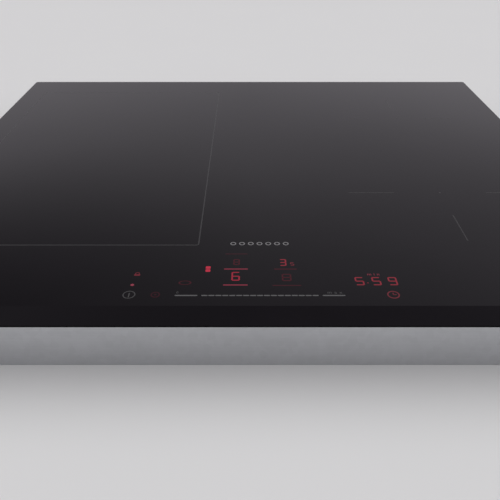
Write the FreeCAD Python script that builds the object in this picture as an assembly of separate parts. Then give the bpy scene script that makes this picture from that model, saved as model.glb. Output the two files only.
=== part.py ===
import FreeCAD, Part
import math
import os

# Built-in induction cooktop, 60 cm class: glass-ceramic top, sheet-metal casing and everything inside.
# Frame: +X to the right as the cook sees it, +Y to the rear, +Z up. The origin is at the middle of the
# casing's underside. Lengths are in millimetres. Each function returns the solids of one named piece.

# ---------------------------------------------------------------- glass top and its joint to the frame
glass_width = 592.0
glass_depth = 522.0
glass_thickness = 4.0
glass_corner_radius = 3.0
edge_grind = 0.5
facet_width = 18.0
facet_drop = 2.5

drop_below_worktop = 51.0
seal_thickness = 1.5
seal_width = 9.0
seal_edge_margin = 2.0
adhesive_thickness = 1.2
adhesive_width = 8.0
adhesive_inset = 1.5

# ---------------------------------------------------------------- frame and casing, both pressed sheet
side_overhang = 22.0
end_overhang = 18.0
casing_corner_radius = 8.0
frame_sheet = 1.0
frame_flange = 12.0
skirt_height = 17.3
tray_sheet = 0.8
tray_slip = 0.15
tray_bottom_radius = 2.5
touch_clear = 0.2

bead_width = 12.0
bead_height = 2.0
bead_length = 210.0
bead_offset = 46.0

vent_width = 3.0
vent_length = 20.0
vent_pitch = 27.0
vent_end_margin = 40.0
vent_side_margin = 60.0
vent_drop = 9.0
vent_setbacks = (36.0, 46.0)
grille_pitch = 6.0
shortest_slot = 6.0

# ---------------------------------------------------------------- screws
screw_radius = 1.5
screw_head_radius = 3.2
screw_head_height = 1.6
screw_clear = 0.05
screw_head_rounding = 0.64
screw_drive_radius = 1.28
screw_drive_depth = 0.8
frame_screw_length = 5.0
clip_screw_length = 6.0
board_screw_length = 6.0
clamp_screw_length = 7.0
side_screw_offset = 185.0
end_screw_offset = 164.0

# ---------------------------------------------------------------- cooking zones
zone_front_setback = 95.0
flex_zone_depth = 380.0
flex_coil_count = 4
flex_side_setback = 141.0
flex_coil_length = 200.0
flex_coil_gap = 7.0
flex_inner_radius = 14.0

round_side_setback = 122.0
front_zone_setback = 192.0
rear_zone_setback = 385.0
front_coil_radius = 84.0
rear_coil_radius = 66.0
round_inner_radius = 22.0

insulator_thickness = 3.5
insulator_margin = 1.5
insulator_corner = 4.0
winding_height = 4.0
turn_pitch = 4.2
turn_rise = 0.35
carrier_thickness = 1.5
ferrite_thickness = 4.0
ferrite_width = 11.0
ferrite_corner = 1.0
flex_ferrite_count = 6
flex_ferrite_pitch = 28.5
flex_ferrite_inset = 2.0
round_ferrite_count = 8
carrier_slot_width = 6.6
carrier_slot_inset = 13.0
sensor_radius = 7.0
sensor_cap_radius = 4.5
sensor_clear = 1.0

plate_thickness = 1.5
plate_lip = 5.0
plate_margin_x = 10.0
plate_margin_y = 4.0
plate_corner_radius = 6.0
post_radius = 5.0
post_inset = 9.0
post_head_height = 3.0
post_head_margin = 1.0
post_head_corner = 1.5
spring_height = 5.0
spring_width = 8.0
spring_span = 16.0
spring_sheet = 0.5
spring_bend = 0.8
spring_foot_share = 0.6
spring_crest_share = 0.25

# ---------------------------------------------------------------- power electronics
board_thickness = 1.6
board_corner = 2.0
board_lift = 7.2
board_length = 240.0
board_width = 210.0
board_gap = 22.0
board_setback = 133.0
standoff_radius = 4.0
standoff_inset = 7.0

sink_width = 60.0
sink_length = 140.0
sink_height = 21.0
sink_base = 4.0
fin_thickness = 1.6
fin_count = 9
sink_setback = 88.0
sink_shift = 15.0
package_width = 5.0
package_length = 16.0
package_height = 18.0
packages_per_sink = 4

capacitor_size = (30.0, 20.0, 20.0)
filter_capacitor_size = (26.0, 16.0, 17.0)
capacitor_corner = 1.5
capacitor_inset = 39.0
capacitor_pitch = 42.0
capacitors_per_board = 3
component_row = 44.0
choke_ring_radius = 12.0
choke_wire_radius = 6.0
choke_inset = 30.0
filter_capacitor_inset = 30.0
filter_choke_inset = 40.0

wheel_radius = 34.0
blade_depth = 8.0
wheel_height = 17.0
wheel_hub_radius = 14.0
wheel_hub_lift = 3.0
wheel_rim = 1.5
wheel_blades = 28
wheel_web = 1.5
blade_thickness = 1.0
blade_inset = 0.4
blade_rake = 28.0
wheel_end_clear = 2.0
wheel_side_clear = 5.0
shaft_radius = 1.5
shaft_clear = 0.06
shaft_end_clear = 0.3
blower_wall = 1.5
blower_height = 25.0
blower_outlet = 52.0
blower_rear_margin = 25.35
left_blower_x = -150.0
right_blower_x = 30.0
inlet_lip = 2.0
bearing_tube_radius = 4.0
lid_cap = 0.6

filter_board_length = 126.0
filter_board_width = 52.0
filter_board_shift = 37.0
filter_board_rear_margin = 61.85

# ---------------------------------------------------------------- control unit under the front of the glass
control_left = -106.0
control_right = 118.0
control_flange = 5.0
control_depth = 66.0
control_wall = 1.6
control_floor = 1.5
control_board_lift = 3.0
control_rise = 12.5
leg_radius = 4.0
leg_inset_x = 12.0
leg_inset_y = 10.0
ledge_width = 2.0
key_setback = 30.5
zone_digits_setback = 62.5
timer_setback = 50.0
left_digits_x = -10.4
right_digits_x = 26.2
timer_x = 90.5
power_key_x = -84.3
lock_key_x = -65.8
timer_key_x = 100.0
slider_left = -52.3
slider_right = 66.2
display_corner = 1.0
zone_display_size = (22.0, 46.0)
timer_display_size = (40.0, 16.0)
light_guide_width = 8.0
light_guide_end = 1.5
light_guide_corner = 1.5
guide_wall = 1.0
guide_pocket_corner = 1.0
pad_radius = 4.8
pad_bore = 2.5
diffuser_skin = 1.2
electrode_skin = 0.6
guide_cells = 8
lamp_size = 6.4
lamp_corner = 0.8
lamp_bore = 2.0
lamp_places = ((-83.7, 42.1), (-82.4, 54.7), (-46.5, 44.7), (-31.0, 61.9))

# ---------------------------------------------------------------- terminal box at the rear
box_side_margin = 34.0
box_width = 100.0
box_floor_z = 4.0
box_depth = 50.0
box_wall = 2.0
rim_thickness = 2.5
rim_overlap = 2.0
rim_height = 1.2
box_clear = 0.2
wall_cut = 5.0
cable_radius = 5.0
cable_offset = 18.0
cable_lift = 2.0
clamp_length = 10.0
clamp_width = 28.0
clamp_top = 3.0
clamp_gap = 0.2
clamp_screw_margin = 0.6
saddle_setback = 25.0
pole_count = 5
pole_pitch = 10.0
pole_depth = 20.0
pole_heights = (8.0, 14.0)
pole_screw_radius = 2.6
pole_wire_radius = 2.2
wire_slot_size = (24.0, 8.0)
latch_inset = 30.0
cover_thickness = 2.0
cover_gap = 0.3
pin_radius = 1.2
pin_clear = 0.05
knuckle_radius = 2.8
ear_thickness = 3.0
ear_clear = 0.3
notch_margin = 1.5
cover_bevel = 0.5
rib_size = (1.6, 1.4)
rib_insets = (20.0, 8.0)
rib_end = 4.0
skirt_clear = 0.9
tongue_lift = 0.9
tongue_length = 4.0
tongue_thickness = 1.6
tongue_width = 12.0

# ---------------------------------------------------------------- side clips and rating plate
clip_sheet = 0.8
clip_width = 22.0
clip_reach = 9.0
clip_tab = 12.0
clip_tab_margin = 1.0
clip_tab_foot = 2.0
clip_y = 130.0
clip_bend = 3.0
clip_drop = 14.0
clip_return = 12.0
clip_toe = 1.5
rating_plate_size = (90.0, 20.0, 0.4)
rating_plate_offset = 81.0

# ---------------------------------------------------------------- places and heights that follow
casing_width = glass_width - 2 * side_overhang
casing_depth = glass_depth - 2 * end_overhang
seal_top = drop_below_worktop + seal_thickness
glass_top_z = seal_top + glass_thickness
frame_top = seal_top - adhesive_thickness
skirt_bottom = frame_top - skirt_height
tray_top = frame_top - frame_sheet - tray_slip
tray_width = casing_width - 2 * (frame_sheet + tray_slip)
tray_depth = casing_depth - 2 * (frame_sheet + tray_slip)
tray_corner_radius = casing_corner_radius - frame_sheet - tray_slip
front_edge = -glass_depth / 2
tray_rear = tray_depth / 2

winding_top = seal_top - insulator_thickness
winding_bottom = winding_top - winding_height
left_plate_top = winding_bottom - ferrite_thickness
right_plate_top = left_plate_top - carrier_thickness
board_bottom = tray_sheet + board_lift
board_top = board_bottom + board_thickness
board_front = front_edge + board_setback
left_board_x = -board_gap - board_width
right_board_x = board_gap
sink_front = board_front + sink_setback
left_sink_x = left_blower_x - sink_shift
right_sink_x = right_blower_x - sink_shift + sink_width / 5
wheel_inner_radius = wheel_radius - blade_depth
inlet_radius = wheel_inner_radius + inlet_lip
blower_radius = wheel_radius + wheel_side_clear + blower_wall
blower_y = tray_rear - blower_rear_margin - blower_radius

flex_centre_x = -glass_width / 2 + flex_side_setback
round_centre_x = glass_width / 2 - round_side_setback
flex_pitch = flex_zone_depth / flex_coil_count
flex_coil_depth = flex_pitch - flex_coil_gap
zone_front = front_edge + zone_front_setback
flex_centres = [zone_front + flex_pitch * (i + 0.5) for i in range(flex_coil_count)]
front_zone_y = front_edge + front_zone_setback
rear_zone_y = front_edge + rear_zone_setback

control_front = -casing_depth / 2 + control_flange + touch_clear
control_rear = control_front + control_depth
control_base = seal_top - control_rise
control_board_bottom = control_base + control_floor + control_board_lift
control_board_top = control_board_bottom + board_thickness
key_y = front_edge + key_setback

hinge_z = skirt_bottom - skirt_clear - knuckle_radius
hinge_y = tray_rear + knuckle_radius + cover_gap
box_right = casing_width / 2 - box_side_margin
box_left = box_right - box_width
box_top = hinge_z - knuckle_radius - cover_gap - rim_height
box_front = tray_rear - box_depth
rim_back = tray_rear + rim_thickness
cable_x = box_left + cable_offset
cable_z = box_floor_z + box_wall + cable_lift + cable_radius
clamp_y = tray_rear - saddle_setback
filter_board_x = box_left - filter_board_shift
filter_board_y = tray_rear - filter_board_rear_margin - filter_board_width


# ---------------------------------------------------------------- shape helpers
def block(x0, x1, y0, y1, z0, z1):
    """A box between two corners."""
    return Part.makeBox(x1 - x0, y1 - y0, z1 - z0, FreeCAD.Vector(x0, y0, z0))


def rod(x, y, z0, z1, radius):
    """An upright cylinder."""
    return Part.makeCylinder(radius, z1 - z0, FreeCAD.Vector(x, y, z0))


def bar_along(axis, start, length, radius):
    """A cylinder along a horizontal axis."""
    return Part.makeCylinder(radius, length, FreeCAD.Vector(*start), FreeCAD.Vector(*axis))


def upright_edges(shape):
    """The edges of a shape that run straight up."""
    return [e for e in shape.Edges
            if abs(e.BoundBox.XLength) < 1e-6 and abs(e.BoundBox.YLength) < 1e-6]


def level_edges(shape, z):
    """The edges of a shape that lie at one height."""
    return [e for e in shape.Edges if abs(e.BoundBox.ZMin - z) < 1e-6 and abs(e.BoundBox.ZMax - z) < 1e-6]


def slab(width, depth, z0, z1, radius, centre=(0.0, 0.0)):
    """An upright prism of rounded rectangular outline."""
    x, y = centre
    plain = block(x - width / 2, x + width / 2, y - depth / 2, y + depth / 2, z0, z1)
    return plain.makeFillet(radius, upright_edges(plain)) if radius > 0 else plain


def ring(width, depth, z0, z1, radius, wall):
    """A rounded rectangular ring of one wall width."""
    inner = slab(width - 2 * wall, depth - 2 * wall, z0, z1, max(radius - wall, 0.5))
    return slab(width, depth, z0, z1, radius).cut(inner)


def slot(length, width, depth, centre, along, through):
    """A cutter of stadium outline, long way along one direction, reaching depth through another."""
    along, through = FreeCAD.Vector(*along), FreeCAD.Vector(*through)
    middle = FreeCAD.Vector(*centre) - through * (depth / 2)
    side = through.cross(along)
    half, radius = along * (length / 2 - width / 2), width / 2
    a, b = middle - half, middle + half
    edges = [
        Part.LineSegment(a + side * radius, b + side * radius).toShape(),
        Part.Arc(b + side * radius, b + along * radius, b - side * radius).toShape(),
        Part.LineSegment(b - side * radius, a - side * radius).toShape(),
        Part.Arc(a - side * radius, a - along * radius, a + side * radius).toShape(),
    ]
    return Part.Face(Part.Wire(edges)).extrude(through * depth)


def strip(points, sheet, bend, place, width_axis, width):
    """Sheet bent along a route of 2D points. place turns a 2D point into 3D."""
    route = [FreeCAD.Vector(u, v, 0) for u, v in points]
    sides = {}
    for sign in (1, -1):
        edges, last = [], None
        for i, point in enumerate(route):
            before = (point - route[i - 1]).normalize() if i else None
            after = (route[i + 1] - point).normalize() if i + 1 < len(route) else None
            lead = before or after
            normal = FreeCAD.Vector(-lead.y, lead.x, 0) * (sign * sheet / 2)
            if before is None or after is None:
                here = point + normal
                if last is not None:
                    edges.append(("line", last, here))
                last = here
                continue
            turn = math.atan2(before.cross(after).z, before.dot(after))
            inside = 1 if turn > 0 else -1
            tangent = bend * math.tan(abs(turn) / 2)
            centre = point - before * tangent + FreeCAD.Vector(-before.y, before.x, 0) * (bend * inside)
            radius = bend - inside * sign * sheet / 2
            start = point - before * tangent + normal
            out_normal = FreeCAD.Vector(-after.y, after.x, 0) * (sign * sheet / 2)
            end = point + after * tangent + out_normal
            middle = centre + (point - centre).normalize() * radius
            edges.append(("line", last, start))
            edges.append(("arc", start, middle, end))
            last = end
        sides[sign] = edges
    left, right = sides[1], sides[-1]
    pieces = left + [("line", left[-1][-1], right[-1][-1])] + right + [("line", left[0][1], right[0][1])]
    shapes = []
    for kind, *ends in pieces:
        ends = [place(p.x, p.y) for p in ends]
        made = Part.LineSegment(*ends) if kind == "line" else Part.Arc(*ends)
        shapes.append(made.toShape())
    wire = Part.Wire(Part.__sortEdges__(shapes))
    return Part.Face(wire).extrude(FreeCAD.Vector(*width_axis) * width)


def screw(start, direction, length):
    """A pan-head screw: its shank starts at a point and runs along a direction, its head stands behind."""
    start, direction = FreeCAD.Vector(*start), FreeCAD.Vector(*direction)
    shank = Part.makeCylinder(screw_radius, length, start, direction)
    head = Part.makeCylinder(screw_head_radius, screw_head_height, start, direction * -1)
    face = start - direction * screw_head_height
    rim = [e for e in head.Edges if e.BoundBox.Center.distanceToPoint(face) < 1e-3]
    head = head.makeFillet(screw_head_rounding, rim)
    drive = Part.makeCylinder(screw_drive_radius, screw_drive_depth, face, direction)
    return head.fuse(shank).cut(drive)


def save(name, solids):
    """Writes one named piece, as one solid or as a group of separate solids."""
    solids = solids if isinstance(solids, list) else [solids]
    flat = [s.removeSplitter() for shape in solids for s in shape.Solids]
    shape = flat[0] if len(flat) == 1 else Part.makeCompound(flat)
    bad = [s for s in flat if not s.isValid() or s.Volume <= 0]
    volume = sum(s.Volume for s in flat) / 1000
    print(f"{name:24s} solids {len(flat):3d}  volume {volume:9.2f} cm3", "BAD" if bad else "")
    shape.exportStep(os.path.join("parts", name + ".step"))


# ---------------------------------------------------------------- glass, seal, adhesive and frame
def glass_top():
    """The glass plate, ground along its edges, with the wide facet across its front."""
    plate = slab(glass_width, glass_depth, seal_top, glass_top_z, glass_corner_radius)
    plate = plate.makeChamfer(edge_grind, level_edges(plate, glass_top_z) + level_edges(plate, seal_top))
    front, reach = front_edge, glass_width
    corners = [(front - 1, glass_top_z + 1), (front + facet_width, glass_top_z + 1),
               (front + facet_width, glass_top_z), (front, glass_top_z - facet_drop),
               (front - 1, glass_top_z - facet_drop - facet_drop / facet_width)]
    wire = Part.makePolygon([FreeCAD.Vector(-reach / 2 - 1, y, z) for y, z in corners + corners[:1]])
    return plate.cut(Part.Face(wire).extrude(FreeCAD.Vector(reach + 2, 0, 0)))


def worktop_seal():
    """The foam tape under the glass's overhang."""
    width, depth = glass_width - 2 * seal_edge_margin, glass_depth - 2 * seal_edge_margin
    return ring(width, depth, drop_below_worktop, seal_top, glass_corner_radius, seal_width)


def control_window(z0, z1, edge):
    """A cutter over the touch unit, whose front stays an edge width inside the frame's front."""
    return block(control_left - touch_clear - 1, control_right + touch_clear + 1,
                 -casing_depth / 2 + edge, -casing_depth / 2 + 2 * frame_flange, z0, z1)


def glass_adhesive():
    """The silicone bead between the glass and the frame's flange."""
    width, depth = casing_width - 2 * adhesive_inset, casing_depth - 2 * adhesive_inset
    bead = ring(width, depth, frame_top, seal_top, casing_corner_radius - adhesive_inset, adhesive_width)
    return bead.cut(control_window(frame_top - 1, seal_top + 1, control_flange - 1))


def frame_screw_places():
    """Where the frame's screws enter the skirt: a point on its outer face and the way in."""
    z = (skirt_bottom + frame_top) / 2
    places = []
    for sign in (-1, 1):
        for y in (-side_screw_offset, side_screw_offset):
            places.append(((sign * casing_width / 2, y, z), (-sign, 0, 0)))
        for x in (-end_screw_offset, end_screw_offset):
            places.append(((x, sign * casing_depth / 2, z), (0, -sign, 0)))
    return places


def clip_places():
    """Where each side clip is screwed on: a point on the skirt's outer face, and its outward sign."""
    z = frame_top - clip_tab / 2 - clip_tab_margin
    return [((sign * casing_width / 2, y, z), sign) for sign in (-1, 1) for y in (-clip_y, clip_y)]


def screw_bore(start, direction, length, radius):
    """A cutter along a screw's shank that starts a little outside."""
    direction = FreeCAD.Vector(*direction)
    return Part.makeCylinder(radius, length + 2, FreeCAD.Vector(*start) - direction, direction)


def side_bores():
    """Cutters for every screw that goes through the skirt and the tray's wall."""
    radius = screw_radius + screw_clear
    bores = [screw_bore(p, d, clip_screw_length, radius) for p, d in frame_screw_places()]
    return bores + [screw_bore(p, (-s, 0, 0), clip_screw_length, radius) for p, s in clip_places()]


def glass_frame():
    """The pressed frame that the glass is bonded to: a flange with a skirt below it."""
    outer = slab(casing_width, casing_depth, skirt_bottom, frame_top, casing_corner_radius)
    inner = slab(casing_width - 2 * frame_sheet, casing_depth - 2 * frame_sheet,
                 skirt_bottom, frame_top - frame_sheet, casing_corner_radius - frame_sheet)
    window = slab(casing_width - 2 * frame_flange, casing_depth - 2 * frame_flange,
                  skirt_bottom, frame_top, casing_corner_radius)
    frame = outer.cut(inner).cut(window).cut(control_window(skirt_bottom, frame_top + 1, control_flange))
    return frame.cut(side_bores())


# ---------------------------------------------------------------- casing tray
def vents():
    """Cutters for the air slots: exhausts in the floor's front and the sides, grilles under the blowers."""
    cutters, through = [], 4 * tray_bottom_radius
    count = int((tray_width / 2 - vent_end_margin) / vent_pitch)
    for i in range(-count, count + 1):
        for setback in vent_setbacks:
            centre = (i * vent_pitch, setback - tray_depth / 2, 0)
            cutters.append(slot(vent_length, vent_width, through, centre, (1, 0, 0), (0, 0, 1)))
    count = int((tray_depth / 2 - vent_side_margin) / vent_pitch)
    for i in range(-count, count + 1):
        if abs(abs(i * vent_pitch) - clip_y) < (vent_length + clip_width) / 2:
            continue
        for sign in (-1, 1):
            centre = (sign * tray_width / 2, i * vent_pitch, skirt_bottom - vent_drop)
            cutters.append(slot(vent_length, vent_width, through, centre, (0, 1, 0), (1, 0, 0)))
    reach = inlet_radius - vent_width
    rows = int(reach / grille_pitch)
    for x in (left_blower_x, right_blower_x):
        for i in range(-rows, rows + 1):
            y = i * grille_pitch
            length = 2 * math.sqrt(reach * reach - y * y)
            if length > shortest_slot:
                centre = (x, blower_y + y, 0)
                cutters.append(slot(length, vent_width, through, centre, (1, 0, 0), (0, 0, 1)))
    return cutters


def beads(z0, z1, width):
    """Stiffening beads along the tray's floor, as stadium prisms."""
    y, middle = board_front + board_length / 2, board_gap + board_width / 2
    spots = [sign * (middle + shift) for sign in (-1, 1) for shift in (-bead_offset, bead_offset)]
    return [slot(bead_length, width, z1 - z0, (x, y, (z0 + z1) / 2), (0, 1, 0), (0, 0, 1)) for x in spots]


def board_corners(x, y, width, length):
    """The four fixing points of a circuit board."""
    i = standoff_inset
    return [(px, py) for px in (x + i, x + width - i) for py in (y + i, y + length - i)]


def board_fixings():
    """Every circuit-board fixing point on the tray's floor."""
    points = board_corners(left_board_x, board_front, board_width, board_length)
    points += board_corners(right_board_x, board_front, board_width, board_length)
    points += board_corners(filter_board_x, filter_board_y, filter_board_length, filter_board_width)
    return points


def casing_tray():
    """The zinc-plated pan, with its beads, threaded standoffs, air slots and terminal-box opening."""
    outer = slab(tray_width, tray_depth, 0, tray_top, tray_corner_radius)
    outer = outer.makeFillet(tray_bottom_radius, level_edges(outer, 0))
    inner = slab(tray_width - 2 * tray_sheet, tray_depth - 2 * tray_sheet,
                 tray_sheet, tray_top + 1, tray_corner_radius - tray_sheet)
    inner = inner.makeFillet(tray_bottom_radius - tray_sheet, level_edges(inner, tray_sheet))
    opening = block(box_left - box_clear, box_right + box_clear, tray_rear - wall_cut, tray_rear + wall_cut,
                    box_floor_z - box_clear, box_top + box_clear)
    tray = outer.cut(inner).cut(side_bores()).cut(vents()).cut(opening)
    posts = [rod(x, y, tray_sheet / 2, board_bottom, standoff_radius) for x, y in board_fixings()]
    tray = tray.fuse(beads(tray_sheet / 2, tray_sheet + bead_height, bead_width) + posts)
    tray = tray.cut(beads(-1, bead_height, bead_width - 2 * tray_sheet))
    bore = screw_radius + screw_clear
    return tray.cut([rod(x, y, tray_sheet + 1, board_bottom + 1, bore) for x, y in board_fixings()])


def frame_screws():
    """The screws that hold the tray in the frame's skirt."""
    return [screw(p, d, frame_screw_length) for p, d in frame_screw_places()]


def board_screws():
    """The screws that hold the circuit boards on their standoffs."""
    return [screw((x, y, board_top), (0, 0, -1), board_screw_length) for x, y in board_fixings()]


def rating_plate():
    """A blank data plate on the rear wall."""
    length, height, thickness = rating_plate_size
    z = skirt_bottom / 2 - height / 2
    right = -rating_plate_offset
    return block(right - length, right, tray_rear, tray_rear + thickness, z, z + height)


# ---------------------------------------------------------------- side clips
def cutout_clips():
    """The four leaf clips that centre and hold the casing in the worktop's cut-out."""
    clips = []
    for (x, y, z), sign in clip_places():
        face = abs(x) + clip_sheet / 2
        top = z + clip_tab / 2
        bottom = top - clip_tab - clip_tab_foot
        knee = bottom - clip_drop
        toe = (face + clip_toe, knee - clip_return)
        route = [(face, top), (face, bottom), (face + clip_reach, knee), toe]
        place = lambda u, v, y=y, s=sign: FreeCAD.Vector(s * u, y - clip_width / 2, v)
        clip = strip(route, clip_sheet, clip_bend, place, (0, 1, 0), clip_width)
        clips.append(clip.cut(screw_bore((x + sign * 2, y, z), (-sign, 0, 0), 6, screw_radius + screw_clear)))
    return clips


def clip_screws():
    """One screw through each clip, the skirt and the tray's wall."""
    screws = []
    for (x, y, z), side in clip_places():
        screws.append(screw((x + side * clip_sheet, y, z), (-side, 0, 0), clip_screw_length))
    return screws


# ---------------------------------------------------------------- coils
def winding(centre, straight, inner, outer):
    """Flat litz winding: ridged on top by its turns, round, or drawn out along X by a straight length."""
    x, y = centre
    count = max(3, round((outer - inner) / turn_pitch))
    pitch = (outer - inner) / count
    shoulder, crown = winding_top - pitch * turn_rise, winding_top

    def edge_profile():
        """The section at the +Y side, as a face across X."""
        at = lambda r, z: FreeCAD.Vector(x, y + r, z)
        edges = [Part.LineSegment(at(outer, shoulder), at(outer, winding_bottom)).toShape(),
                 Part.LineSegment(at(outer, winding_bottom), at(inner, winding_bottom)).toShape(),
                 Part.LineSegment(at(inner, winding_bottom), at(inner, shoulder)).toShape()]
        for i in range(count):
            r = inner + i * pitch
            turn = Part.Arc(at(r, shoulder), at(r + pitch / 2, crown), at(r + pitch, shoulder))
            edges.append(turn.toShape())
        return Part.Face(Part.Wire(Part.__sortEdges__(edges)))

    face, up = edge_profile(), FreeCAD.Vector(0, 0, 1)
    if straight <= 0:
        return face.revolve(FreeCAD.Vector(x, y, 0), up, 360)
    half = straight / 2
    near = face.copy()
    near.translate(FreeCAD.Vector(-half, 0, 0))
    run = near.extrude(FreeCAD.Vector(straight, 0, 0))
    left = near.revolve(FreeCAD.Vector(x - half, y, 0), up, 180)
    other_run = run.copy()
    other_run.rotate(FreeCAD.Vector(x, y, 0), up, 180)
    right = left.copy()
    right.rotate(FreeCAD.Vector(x, y, 0), up, 180)
    return run.fuse([left, other_run, right])


def flex_windings():
    """The oval windings of the long zone, front to rear."""
    outer = flex_coil_depth / 2
    straight = flex_coil_length - 2 * outer
    return [winding((flex_centre_x, y), straight, flex_inner_radius, outer) for y in flex_centres]


def flex_ferrites(y):
    """The ferrite bars under one oval winding, clear of the sensor in its middle."""
    length = flex_coil_depth - 2 * flex_ferrite_inset
    first = flex_centre_x - (flex_ferrite_count - 1) / 2 * flex_ferrite_pitch
    spots = [first + i * flex_ferrite_pitch for i in range(flex_ferrite_count)]
    size = (ferrite_width, length, left_plate_top, winding_bottom, ferrite_corner)
    return [slab(*size, (x, y)) for x in spots]


def around(shape, y, turn):
    """A copy turned about a round zone's middle."""
    turned = shape.copy()
    turned.rotate(FreeCAD.Vector(round_centre_x, y, 0), FreeCAD.Vector(0, 0, 1), turn)
    return turned


def round_ferrites(y, outer):
    """Radial ferrite bars under one round winding."""
    middle, step = round_centre_x + (outer + round_inner_radius) / 2, 360 / round_ferrite_count
    bar = slab(outer - round_inner_radius, ferrite_width, right_plate_top,
               right_plate_top + ferrite_thickness, ferrite_corner, (middle, y))
    return [around(bar, y, step * (i + 0.5)) for i in range(round_ferrite_count)]


def round_carrier(y, outer):
    """The plastic disc that a round winding is cast on, opened between its ferrite bars."""
    z0 = right_plate_top + ferrite_thickness
    disc = rod(round_centre_x, y, z0, winding_bottom, outer + insulator_margin)
    disc = disc.cut(rod(round_centre_x, y, z0 - 1, winding_bottom + 1, sensor_radius + sensor_clear))
    middle = round_centre_x + (outer + round_inner_radius) / 2
    length = outer - round_inner_radius - 2 * carrier_slot_inset
    opening = slot(length, carrier_slot_width, 4 * carrier_thickness, (middle, y, z0), (1, 0, 0), (0, 0, 1))
    return disc.cut([around(opening, y, 360 / round_ferrite_count * i) for i in range(round_ferrite_count)])


def round_insulator(y, outer):
    """The mica-faced disc between a round winding and the glass."""
    disc = rod(round_centre_x, y, winding_top, seal_top, outer + insulator_margin)
    return disc.cut(rod(round_centre_x, y, winding_top - 1, seal_top + 1, sensor_radius + sensor_clear))


def flex_insulator():
    """The mica-faced sheet over the four oval windings."""
    y = (flex_centres[0] + flex_centres[-1]) / 2
    depth = flex_zone_depth - flex_coil_gap + 2 * insulator_margin
    width = flex_coil_length + 2 * insulator_margin
    sheet = slab(width, depth, winding_top, seal_top, insulator_corner, (flex_centre_x, y))
    bore = sensor_radius + sensor_clear
    holes = [rod(flex_centre_x, centre, winding_top - 1, seal_top + 1, bore) for centre in flex_centres]
    return sheet.cut(holes)


def sensor(x, y, floor):
    """A temperature sensor: its holder stands on the plate and its soft cap touches the glass."""
    body = rod(x, y, floor, winding_top, sensor_radius)
    return body.fuse(rod(x, y, winding_top, seal_top, sensor_cap_radius))


def plate_outline(side):
    """Lowest and highest x, y of a coil plate."""
    if side == "left":
        reach = flex_coil_length / 2 + plate_margin_x
        return (flex_centre_x - reach, flex_centre_x + reach,
                zone_front - plate_margin_y, zone_front + flex_zone_depth + plate_margin_y)
    reach = front_coil_radius + plate_margin_x
    front = front_zone_y - front_coil_radius - plate_margin_y
    rear = rear_zone_y + rear_coil_radius + plate_margin_y
    return round_centre_x - reach, round_centre_x + reach, front, rear


def coil_plate(side):
    """An aluminium plate under the coils, lipped along both long sides, lightened between the coils."""
    x0, x1, y0, y1 = plate_outline(side)
    top = left_plate_top if side == "left" else right_plate_top
    centre, width, depth = ((x0 + x1) / 2, (y0 + y1) / 2), x1 - x0, y1 - y0
    plate = slab(width, depth, top - plate_thickness, top, plate_corner_radius, centre)
    for x in (x0, x1 - plate_thickness):
        inset = plate_corner_radius + 2 * post_inset + post_radius
        plate = plate.fuse(block(x, x + plate_thickness, y0 + inset, y1 - inset,
                                 top - plate_thickness - plate_lip, top - plate_thickness / 2))
    return plate


def spring_points(side):
    """The four corners where a coil plate stands on its springs."""
    x0, x1, y0, y1 = plate_outline(side)
    i = post_inset + spring_width / 2
    return [(x, y) for x in (x0 + i, x1 - i) for y in (y0 + post_inset, y1 - post_inset)]


def post_top(side):
    """Height of the posts under one coil plate."""
    top = left_plate_top if side == "left" else right_plate_top
    return top - plate_thickness - spring_height


def plate_posts():
    """The plastic posts on the tray's floor that carry the coil plates' springs."""
    posts = []
    for side in ("left", "right"):
        for x, y in spring_points(side):
            post = rod(x, y, tray_sheet, post_top(side), post_radius)
            head = slab(spring_span + 2 * post_head_margin, spring_width + 2 * post_head_margin,
                        post_top(side) - post_head_height, post_top(side), post_head_corner, (x, y))
            posts.append(post.fuse(head))
    return posts


def plate_springs():
    """Bowed leaf springs that press the coil plates up."""
    springs = []
    for side in ("left", "right"):
        for x, y in spring_points(side):
            base, half = post_top(side) + spring_sheet / 2, spring_span / 2
            crest = post_top(side) + spring_height - spring_sheet / 2
            foot, bow = half * spring_foot_share, half * spring_crest_share
            route = [(x - half, base), (x - foot, base), (x - bow, crest),
                     (x + bow, crest), (x + foot, base), (x + half, base)]
            place = lambda u, v, y=y: FreeCAD.Vector(u, y - spring_width / 2, v)
            springs.append(strip(route, spring_sheet, spring_bend, place, (0, 1, 0), spring_width))
    return springs


# ---------------------------------------------------------------- power electronics
def circuit_board(x, y, width, length):
    """A bare board with a screw hole at each corner."""
    board = slab(width, length, board_bottom, board_top, board_corner, (x + width / 2, y + length / 2))
    holes = [rod(px, py, board_bottom - 1, board_top + 1, screw_radius + screw_clear)
             for px, py in board_corners(x, y, width, length)]
    return board.cut(holes)


def heat_sink(x):
    """An aluminium extrusion: a base with fins along the air's way."""
    base = block(x, x + sink_width, sink_front, sink_front + sink_length, board_top, board_top + sink_base)
    gap = (sink_width - fin_thickness) / (fin_count - 1)
    fins = [block(x + i * gap, x + i * gap + fin_thickness, sink_front, sink_front + sink_length,
                  board_top + sink_base / 2, board_top + sink_height) for i in range(fin_count)]
    return base.fuse(fins)


def power_transistors():
    """The flat transistor packages that stand along the outer side of each heat sink."""
    packages = []
    for x in (left_sink_x, right_sink_x):
        pitch = sink_length / packages_per_sink
        for i in range(packages_per_sink):
            y = sink_front + pitch * (i + 0.5) - package_length / 2
            packages.append(block(x + sink_width, x + sink_width + package_width, y, y + package_length,
                                  board_top, board_top + package_height))
    return packages


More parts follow.
